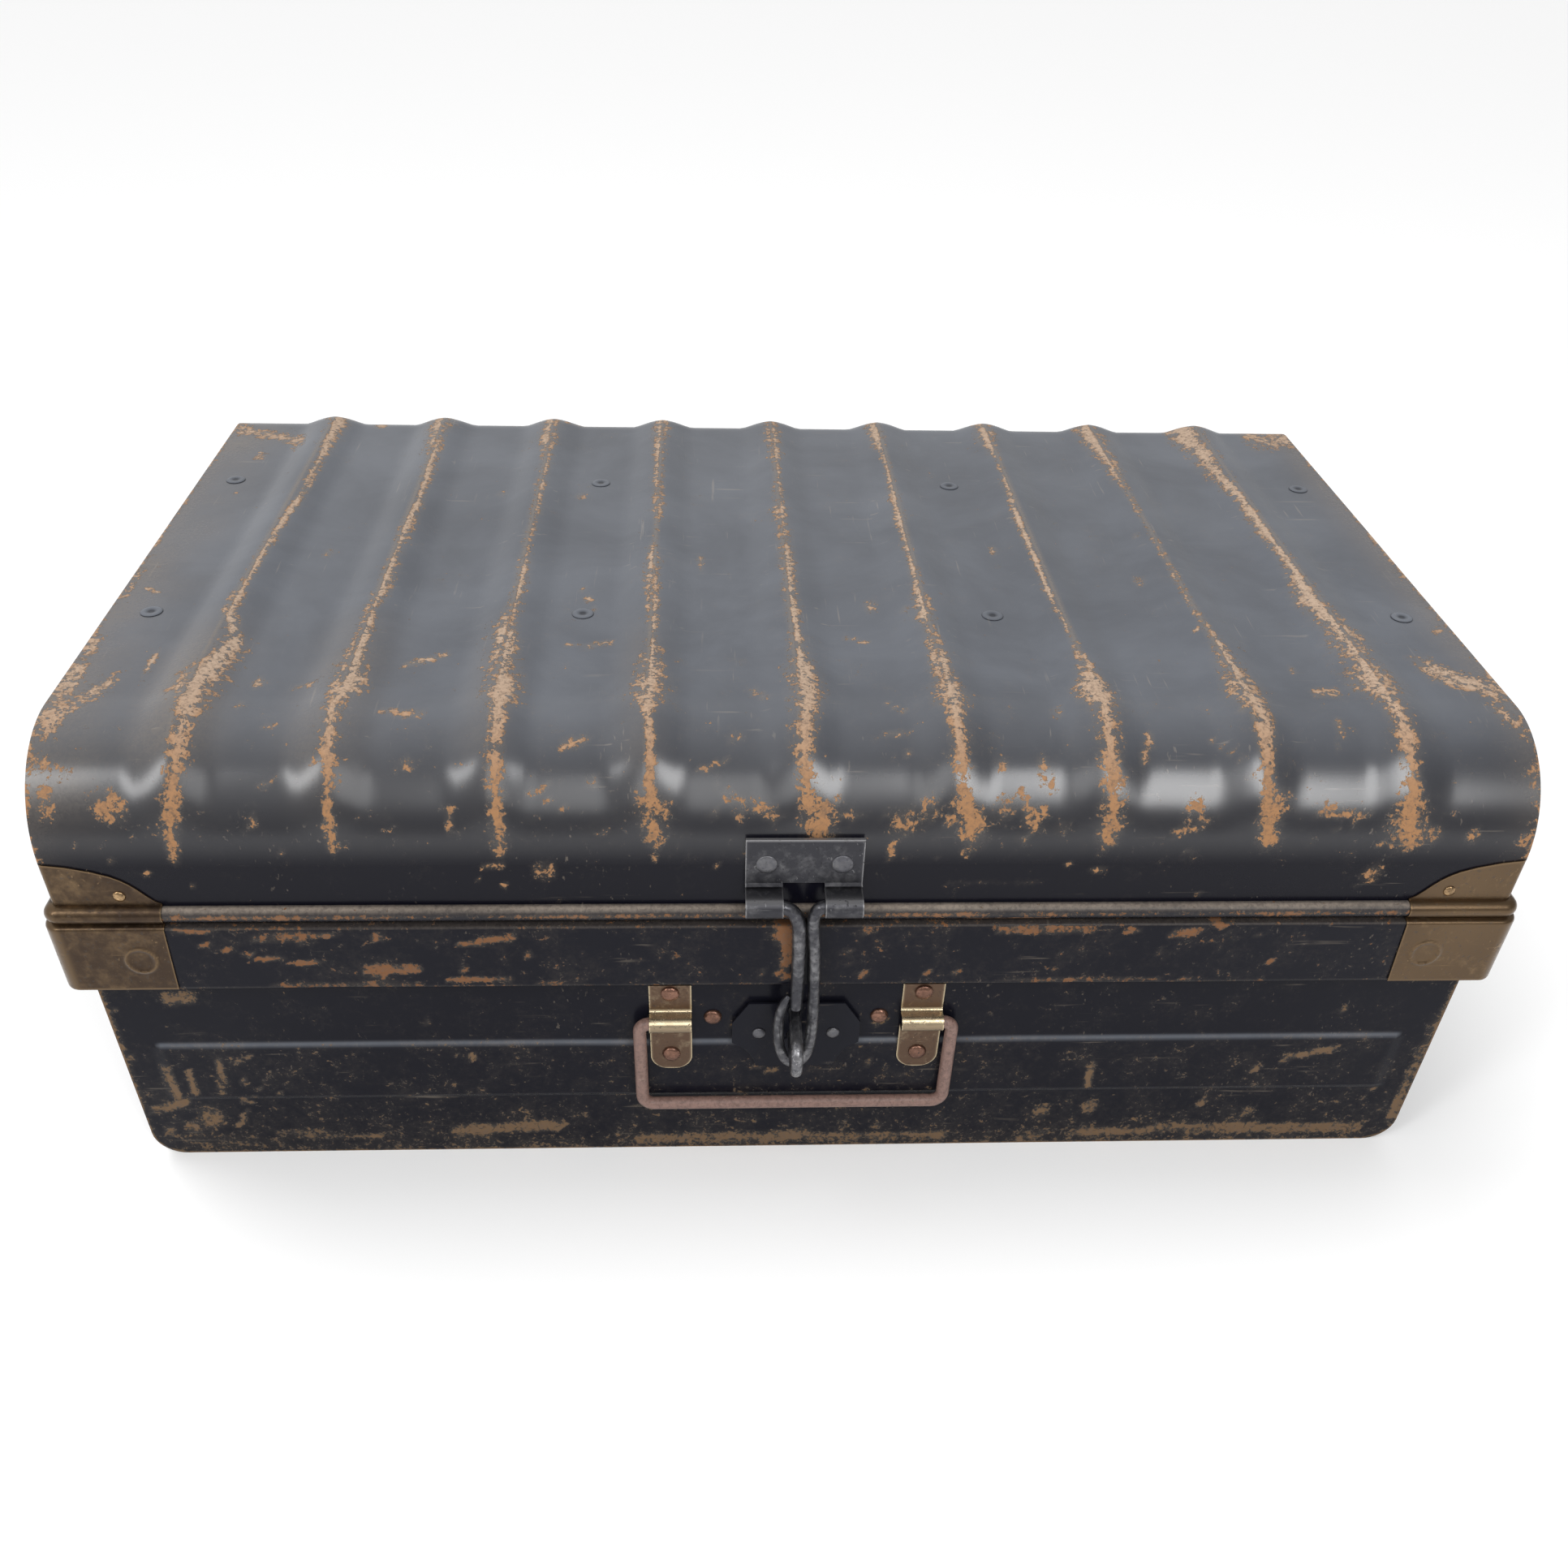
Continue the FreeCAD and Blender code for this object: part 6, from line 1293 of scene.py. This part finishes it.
class TRUNK_OT_rivets(bpy.types.Operator):
    """Every rivet: the lid's ring rivets, and those of the caps, hasp, staple, clips and hinges"""
    bl_idname = "trunk.rivets"
    bl_label = "Rivets"

    def execute(self, context):
        tree = rivet_heads()
        front, back, up = (0, -1, 0), (0, 1, 0), (0, 0, 1)
        caps = [(sx * 277.0, sy * 184.6, 162.0, (0, sy, 0)) for sx in (-1, 1) for sy in (-1, 1)]
        caps += [(sx * 305.6, sy * 156.0, 162.0, (sx, 0, 0)) for sx in (-1, 1) for sy in (-1, 1)]
        # node, body, finish, slot, head radius, head height, dimple, grip, tail radius, tail height, places
        groups = (
            ("lid_stiffener_rivets", "lid", "lid_enamel", "black_paint", 5.0, 0.5, 0.9, 2.4, 4.0, 0.8,
             [(x, y, 224.45, up) for x in (-286.0, -93.75, 93.75, 286.0) for y in (-59.0, 88.0)]),
            ("corner_cap_rivets", "lid", "rivet_brass", "aged_brass", 2.6, 1.2, 0.0, 1.4, 2.2, 0.6, caps),
            ("hasp_plate_rivets", "lid", "rivet_steel", "dark_steel", 4.5, 1.0, 0.25, 2.3, 3.4, 0.8,
             [(x, -185.5, 178.0, front) for x in (-13.5, 17.5)]),
            ("staple_plate_rivets", "body", "rivet_steel", "dark_steel", 3.0, 1.4, 0.0, 5.0, 2.4, 0.8,
             [(x, -183.5, 80.0, front) for x in (-14.8, 18.8)]),
            ("backing_plate_rivets", "body", "rivet_copper", "copper_rivet", 4.1, 2.4, 0.0, 2.3, 2.8, 0.8,
             [(x, -180.8, 88.0, front) for x in (-35.6, 39.6)]),
            ("handle_clip_rivets", "body", "rivet_copper", "copper_rivet", 4.2, 2.3, 0.0, 1.7, 2.8, 0.8,
             [(x, y, z, front) for x in (-54.5, 58.5) for y, z in ((-181.7, 103.0), (-182.9, 66.8))]),
            ("hinge_lid_rivets", "lid", "rivet_steel", "dark_steel", 3.6, 1.6, 0.0, 2.0, 2.6, 0.8,
             [(x, 190.6, 134.0, back) for x in (-195.0, -165.0, 165.0, 195.0)]),
            ("hinge_body_rivets", "body", "rivet_steel", "dark_steel", 3.6, 1.6, 0.0, 2.0, 2.6, 0.8,
             [(x, 182.0, 92.25, back) for x in (-195.0, -165.0, 165.0, 195.0)]),
        )
        for seed, (node, body, finish, slot, radius, height, dimple, grip, tail, tail_height,
                   places) in enumerate(groups):
            mesh = bpy.data.meshes.new(node)
            mesh.from_pydata([(x * MM, y * MM, z * MM) for x, y, z, _ in places], [], [])
            facing = mesh.attributes.new("facing", "FLOAT_VECTOR", "POINT")
            facing.data.foreach_set("vector",
                                    np.array([place[3] for place in places], dtype=np.float32).ravel())
            result = from_nodes(mesh, tree, {
                "Head Radius": radius * MM, "Head Height": height * MM, "Dimple": dimple, "Grip": grip * MM,
                "Tail Radius": tail * MM, "Tail Height": tail_height * MM, "Seed": 17 + seed,
                "Finish": Finishes.get(finish)})
            above = np.array([vertex.co.z for vertex in result.vertices]) / MM - places[0][2]
            # The bloom share rises toward the top of each head: a painted sheen on the lit crown.
            store(result, "bloom_and_sheen", np.clip(0.06 + 0.9 * above / height, 0.06, 0.50))
            store(result, "wear", np.full(len(result.vertices), 0.10))
            set_piece(node + "_set", result, (finish,), body, (node,), sharp=50.0)
        return {"FINISHED"}


def soft_piece(name, node, finish, body, bevel=0.35, wobble=0.0, seed=1, sharp=20.0):
    """A CAD node's softened copy as a piece, its eased edges marked, with lengths in millimetres."""
    mesh, marked = softened_copy(node, bevel * MM, wobble * MM, seed)
    edge = mesh.attributes.new("edge", "FLOAT", "FACE")
    eased = [float(index in marked) for index in range(len(mesh.polygons))]
    edge.data.foreach_set("value", np.array(eased, dtype=np.float32))
    store(mesh, "bloom_and_sheen", np.full(len(mesh.vertices), 0.02))
    store(mesh, "wear", np.full(len(mesh.vertices), 0.08))
    set_piece(name, mesh, (finish,), body, (node,), sharp=sharp)
    keep_flats(mesh)


def keep_flats(mesh):
    """Marks the edges round a mesh's larger flat faces, so that they stay flat in the light."""
    beside = {}
    for face in mesh.polygons:
        for key in face.edge_keys:
            beside.setdefault(key, []).append(face)
    for edge in mesh.edges:
        faces = beside[edge.key]
        if len(faces) == 2 and max(face.area for face in faces) > 14.0 * MM * MM:
            if faces[0].normal.angle(faces[1].normal, 0.0) > math.radians(1.5):
                edge.use_edge_sharp = True


class TRUNK_OT_hasp(bpy.types.Operator):
    """Hasp plate with its rolled knuckles, and the bent rod with its eye"""
    bl_idname = "trunk.hasp"
    bl_label = "Hasp"

    def execute(self, context):
        self.knuckle_plate()
        verts, faces = [], []
        for line in (self.left_leg, self.right_leg):
            tube(verts, faces, [(x, -193.0, z) for x, z, _ in line], [radius for _, _, radius in line],
                 seed=3)
        mesh = bpy.data.meshes.new("hasp_rod")
        mesh.from_pydata(verts, [], faces)
        set_piece("hasp_eye_rod", mesh, ("dark_steel",), "hasp", ("hasp_rod",), sharp=60.0)
        return {"FINISHED"}

    def knuckle_plate(self):
        """A flat plate whose lower edge curls over the rod in two knuckles."""
        low, high = np.array(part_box("hasp_plate")) / MM
        face, axis, height, radius = high[1] - 1.5, low[1] + 4.65, low[2] + 4.65, 4.62
        flat = [(face, z) for z in np.linspace(height + 6.9, high[2], 18)]
        roll = [(y, height - radius) for y in np.linspace(axis + 3.6, axis + 0.3, 4)]
        roll += [(axis - radius * math.cos(turn), height + radius * math.sin(turn))
                 for turn in np.linspace(-math.pi / 2, math.pi / 2, 25)]
        roll += [(y, height + radius) for y in np.linspace(axis + 1.0, face - 1.4, 5)]
        roll += [(face - 1.4 * math.cos(turn), height + radius + 1.4 - 1.4 * math.sin(turn))
                 for turn in np.linspace(math.pi / 2, 0.0, 6)[1:]]
        grids = []
        for left, right, path in ((low[0], -6.7, roll + flat), (-6.7, 10.6, flat),
                                  (10.6, high[0], roll + flat)):
            points = bent_strip(path, left, right, columns=26)
            x, z = points[:, :, 0] / MM, points[:, :, 2] / MM
            row = np.arange(len(path))[:, None] + np.zeros(points.shape[:2])
            gap = np.minimum(np.minimum(x - low[0], high[0] - x), high[2] - z)
            edge = 0.95 * np.exp(-(np.maximum(gap, 0.0) / 0.35) ** 2)
            if len(path) > len(flat):
                gap = np.minimum(x - left, right - x)
                edge = np.maximum(edge, np.where(z < height + 5.5, 0.8 * np.exp(-(gap / 0.4) ** 2), 0.0))
                # A bright line along the upper front of each knuckle is a painted highlight.
                edge = np.maximum(edge, 0.55 * np.exp(-((row - 26.0) / 3.0) ** 2))
            grids.append((points, {"edge": edge}))
        mesh = thick_sheets("hasp_plate", grids, 1.45 * MM)
        set_piece("hasp_knuckle_plate", mesh, ("plate_steel", "plate_steel"), "lid",
                  ("hasp_plate",), sharp=40.0)

    # x, height and radius along each leg, from its end in the knuckle.
    left_leg = ((-21.7, 161.6, 3.05), (-12.0, 161.6, 3.05), (-6.7, 161.4, 3.05), (-3.4, 159.9, 3.1),
                (-1.0, 156.3, 3.15), (0.2, 151.0, 3.1), (0.6, 143.9, 3.05), (0.8, 133.0, 3.05),
                (0.8, 121.8, 3.0), (0.7, 112.2, 2.95), (0.6, 104.7, 2.8))
    right_leg = ((25.7, 161.6, 3.05), (16.0, 161.6, 3.05), (10.7, 161.6, 3.05), (7.9, 160.2, 2.95),
                 (6.4, 156.7, 2.85), (6.2, 151.0, 2.75), (6.8, 143.8, 2.7), (7.5, 134.7, 2.65),
                 (7.9, 121.7, 2.65), (8.2, 110.2, 2.65), (8.2, 98.5, 2.65), (7.7, 85.4, 2.65),
                 (6.0, 75.7, 2.6), (2.2, 71.2, 2.5), (-2.5, 72.4, 2.45), (-5.6, 79.5, 2.5),
                 (-6.8, 90.7, 2.5), (-6.2, 100.6, 2.4), (-4.6, 107.5, 2.0), (-2.6, 112.0, 1.2))


class TRUNK_OT_staple(bpy.types.Operator):
    """Staple, its cut plate and the plate behind"""
    bl_idname = "trunk.staple"
    bl_label = "Staple"

    def execute(self, context):
        soft_piece("staple_cut_plate", "staple_plate", "fitting_enamel", "body",
                   bevel=0.35, wobble=0.08, seed=4)
        soft_piece("staple_bent_loop", "staple_loop", "staple_steel", "body",
                   bevel=0.30, wobble=0.20, seed=5, sharp=50.0)
        soft_piece("staple_inside_plate", "staple_backing_plate", "dark_steel", "body",
                   bevel=0.0)
        return {"FINISHED"}


class TRUNK_OT_handle(bpy.types.Operator):
    """Carrying handle and its two brass clips"""
    bl_idname = "trunk.handle"
    bl_label = "Handle"

    def execute(self, context):
        soft_piece("handle_bent_bail", "handle_bail", "handle_paint", "handle",
                   bevel=0.30, wobble=0.22, seed=7, sharp=60.0)
        self.clip("left")
        self.clip("right")
        return {"FINISHED"}

    def clip(self, side):
        """A brass strip with a half-round swage for the handle's end, rounded below."""
        low, high = np.array(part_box("handle_clip_" + side)) / MM
        wall, axis, height, radius, corner = -181.7, low[1] + 4.04, high[2] - 19.7, 4.04, 8.0
        path = [(wall - 1.2, z) for z in low[2] + 25.4 * np.linspace(0.0, 1.0, 34) ** 1.4]
        path += [(wall - 1.35, height - radius - 0.5), (wall - 1.9, height - radius - 0.1),
                 (axis + 1.0, height - radius)]
        path += [(axis - radius * math.cos(turn), height + radius * math.sin(turn))
                 for turn in np.linspace(-math.pi / 2, math.pi / 2, 25)]
        path += [(axis + 1.5, height + radius), (wall - 1.0, height + radius + 0.1),
                 (wall - 0.45, height + radius + 0.4), (wall - 0.1, height + radius + 0.9)]
        path += [(wall, z) for z in np.linspace(height + radius + 1.6, high[2], 16)]
        half = (high[0] - low[0]) / 2

        def narrowing(z):
            under = np.maximum(low[2] + corner - z, 0.0)
            return (half - corner + np.sqrt(np.maximum(corner ** 2 - under ** 2, 0.0))) / half

        points = bent_strip(path, low[0], high[0], columns=30, narrowing=narrowing)
        x, z = points[:, :, 0] / MM, points[:, :, 2] / MM
        y = points[:, :, 1] / MM
        gap = half * narrowing(z) - np.abs(x - (low[0] + high[0]) / 2)
        edge = np.maximum(0.85 * np.exp(-(gap / 0.45) ** 2), 0.8 * np.exp(-((z - low[2]) / 0.4) ** 2))
        # The swage's upper side and the crease above it are made bright: partly rubbed, partly a painted
        # highlight; the whole swage is a little brighter too.
        crown = np.exp(-((z - height - 2.9) / 1.5) ** 2) * (y < axis + 1.0)
        crown = np.maximum(crown, np.exp(-((z - height - radius - 0.5) / 0.7) ** 2))
        patches = lumps_at(points.reshape(-1, 3), 220.0, 4).reshape(x.shape)
        edge = np.maximum(edge, crown * (0.62 + 0.5 * patches))
        edge = np.maximum(edge, np.where(y < axis + 1.0, 0.28, 0.0))
        mesh = thick_sheet("handle_clip_" + side, points, 0.85 * MM, {"edge": edge})
        set_piece("brass_clip_" + side, mesh, ("clip_brass", "clip_brass"), "body",
                  ("handle_clip_" + side,), sharp=40.0)


class TRUNK_OT_hinges(bpy.types.Operator):
    """Two hinges at the back"""
    bl_idname = "trunk.hinges"
    bl_label = "Hinges"

    def execute(self, context):
        for side in ("left", "right"):
            self.upper_leaf(side)
            self.lower_leaf(side)
            soft_piece("hinge_pin_turned_" + side, "hinge_pin_" + side, "staple_steel", "body",
                       bevel=0.40)
        return {"FINISHED"}

    knuckle, half_knuckle, end_gap, sheet = 3.23, 10.0, 0.4, 1.2

    def upper_leaf(self, side):
        """The lid's leaf: a plate whose middle runs down and curls round the pin."""
        low, high = np.array(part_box("hinge_lid_leaf_" + side)) / MM
        face, axis, height = low[1] + self.sheet, high[1] - 3.25, low[2] + 3.25
        flat = [(face, z) for z in np.linspace(high[2] - 28.0, high[2], 20)]
        roll = self.turned(axis, height, -162, 128)
        middle = (low[0] + high[0]) / 2
        strips = ((low[0], middle - self.half_knuckle, flat),
                  (middle - self.half_knuckle, middle + self.half_knuckle, roll + flat),
                  (middle + self.half_knuckle, high[0], flat))
        self.leaf("hinge_upper_leaf_", "hinge_lid_leaf_", side, "lid", strips, low, high, high[2])

    def lower_leaf(self, side):
        """The body's leaf: a plate cranked out under the skirt, with two knuckles."""
        low, high = np.array(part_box("hinge_body_leaf_" + side)) / MM
        face, axis, height = low[1] + self.sheet, high[1] - 3.25, high[2] - 3.25
        under = height - self.knuckle
        flat = [(face, z) for z in np.linspace(low[2], under - 1.2, 18)]
        flat += [(face + 0.35, under - 0.35)] + [(y, under) for y in np.linspace(face + 1.2, axis - 3.8, 6)]
        middle, inner = (low[0] + high[0]) / 2, self.half_knuckle + self.end_gap
        roll = flat + [(axis - 1.5, under)] + self.turned(axis, height, -90, 162)
        strips = ((low[0], middle - inner, roll), (middle - inner, middle + inner, flat),
                  (middle + inner, high[0], roll))
        self.leaf("hinge_lower_leaf_", "hinge_body_leaf_", side, "body", strips, low, high, low[2])

    def turned(self, axis, height, start, end):
        """Points round a knuckle."""
        return [(axis + self.knuckle * math.cos(turn), height + self.knuckle * math.sin(turn))
                for turn in np.radians(np.linspace(start, end, 28))]

    def leaf(self, name, node, side, body, strips, low, high, free):
        """One leaf of strips that face the back, its outer edges marked."""
        grids = []
        for left, right, path in strips:
            points = bent_strip(path, right, left, columns=22)
            x, z = points[:, :, 0] / MM, points[:, :, 2] / MM
            gap = np.minimum(np.minimum(x - low[0], high[0] - x), np.abs(free - z))
            grids.append((points, {"edge": 0.9 * np.exp(-(np.maximum(gap, 0.0) / 0.4) ** 2)}))
        mesh = thick_sheets(node + side, grids, (self.sheet - 0.05) * MM)
        set_piece(name + side, mesh, ("plate_steel", "plate_steel"), body, (node + side,),
                  sharp=40.0)


class TRUNK_OT_stiffeners(bpy.types.Operator):
    """Flat bars inside the lid"""
    bl_idname = "trunk.stiffeners"
    bl_label = "Stiffeners"

    def execute(self, context):
        soft_piece("lid_bar_front", "lid_stiffener_front", "fitting_enamel", "lid", bevel=0.30)
        soft_piece("lid_bar_rear", "lid_stiffener_rear", "fitting_enamel", "lid", bevel=0.30)
        return {"FINISHED"}


class TRUNK_OT_stage(bpy.types.Operator):
    """Pale floor, soft light and the camera"""
    bl_idname = "trunk.stage"
    bl_label = "Stage"

    def execute(self, context):
        scene = context.scene
        scene.view_settings.view_transform = "Standard"
        self.floor()
        self.world(scene)
        self.sun("sky", (-0.45, 0.45, 1.0), strength=1.10, angle=40.0)
        for name, place, wide, power in WINDOWS:
            self.window(name, place, wide, power)
        self.camera(scene)
        return {"FINISHED"}

    def floor(self):
        mesh = bpy.data.meshes.new("floor")
        mesh.from_pydata([(-9, -9, 0), (9, -9, 0), (9, 9, 0), (-9, 9, 0)], [], [(0, 1, 2, 3)])
        floor = bpy.data.objects.new("floor", mesh)
        bpy.context.scene.collection.objects.link(floor)
        material = new_material("pale_floor", Roughness=0.9, Specular_IOR_Level=0.1,
                                Base_Color=(0.93, 0.93, 0.93, 1.0))[0]
        mesh.materials.append(material)

    def world(self, scene):
        world = bpy.data.worlds.new("studio")
        scene.world = world
        world.use_nodes = True
        tree = world.node_tree
        tree.nodes.clear()
        toward = put(tree, "ShaderNodeVectorMath", {0: put(tree, "ShaderNodeTexCoord").outputs["Generated"],
                                                    1: (-0.80, 0.45, 0.40)},
                     operation="DOT_PRODUCT").outputs["Value"]
        light = put(tree, "ShaderNodeBackground", {"Color": (1.0, 1.0, 1.0, 1.0),
                                                   "Strength": spread(tree, toward, -0.3, 0.9, 0.42, 0.98)})
        made = tree.nodes.new("ShaderNodeOutputWorld")
        tree.links.new(light.outputs[0], made.inputs[0])

    def sun(self, name, place, strength, angle):
        light = bpy.data.lights.new(name, "SUN")
        light.energy, light.angle = strength, math.radians(angle)
        lamp = bpy.data.objects.new(name, light)
        bpy.context.scene.collection.objects.link(lamp)
        lamp.rotation_euler = (-Vector(place)).to_track_quat("-Z", "Y").to_euler()
        lamp.visible_glossy = False

    def window(self, name, place, wide, power):
        light = bpy.data.lights.new(name, "AREA")
        light.shape, light.size, light.size_y, light.energy = "ELLIPSE", wide, WINDOW_HEIGHT, power
        lamp = bpy.data.objects.new(name, light)
        bpy.context.scene.collection.objects.link(lamp)
        lamp.location = place
        lamp.rotation_euler = (Vector(WINDOW_AIM) - Vector(place)).to_track_quat("-Z", "Y").to_euler()

    def camera(self, scene):
        lens = bpy.data.cameras.new("camera")
        lens.sensor_width, lens.lens = 36.0, 32.216
        lens.shift_x, lens.shift_y = 0.00894, 0.07350
        lens.clip_start, lens.clip_end = 0.01, 50.0
        camera = bpy.data.objects.new("camera", lens)
        scene.collection.objects.link(camera)
        right, up = (0.998995, -0.037284, 0.024869), (0.004331, 0.632605, 0.774463)
        away, stand = (-0.044607, -0.773577, 0.632131), (-0.03783, -0.63702, 0.52877)
        camera.matrix_world = Matrix([(right[axis], up[axis], away[axis], stand[axis]) for axis in range(3)]
                                     + [(0.0, 0.0, 0.0, 1.0)])
        scene.camera = camera


class TRUNK_PT_panel(bpy.types.Panel):
    """The trunk's pieces, sizes and colours"""
    bl_idname = "TRUNK_PT_panel"
    bl_label = "Metal trunk"
    bl_space_type = "VIEW_3D"
    bl_region_type = "UI"
    bl_category = "Trunk"

    def draw(self, context):
        for operator in OPERATORS:
            self.layout.operator(operator.bl_idname)
        for group in (context.scene.trunk_sizes, context.scene.trunk_colours):
            box = self.layout.box()
            for key in group.__annotations__:
                box.prop(group, key)


OPERATORS = (TRUNK_OT_stage, TRUNK_OT_lid_shell, TRUNK_OT_lid_rim, TRUNK_OT_corner_caps, TRUNK_OT_body_shell,
             TRUNK_OT_hasp, TRUNK_OT_staple, TRUNK_OT_handle, TRUNK_OT_hinges, TRUNK_OT_stiffeners,
             TRUNK_OT_rivets)
CLASSES = (TrunkSizes, TrunkColours, *OPERATORS, TRUNK_PT_panel)


def register():
    for item in CLASSES:
        bpy.utils.register_class(item)
    bpy.types.Scene.trunk_sizes = bpy.props.PointerProperty(type=TrunkSizes)
    bpy.types.Scene.trunk_colours = bpy.props.PointerProperty(type=TrunkColours)


def unregister():
    del bpy.types.Scene.trunk_sizes
    del bpy.types.Scene.trunk_colours
    for item in reversed(CLASSES):
        bpy.utils.unregister_class(item)


def main():
    register()
    bpy.ops.trunk.stage()
    bpy.ops.trunk.lid_shell()
    bpy.ops.trunk.lid_rim()
    bpy.ops.trunk.corner_caps()
    bpy.ops.trunk.body_shell()
    bpy.ops.trunk.hasp()
    bpy.ops.trunk.staple()
    bpy.ops.trunk.handle()
    bpy.ops.trunk.hinges()
    bpy.ops.trunk.stiffeners()
    bpy.ops.trunk.rivets()


if __name__ == "__main__":
    main()
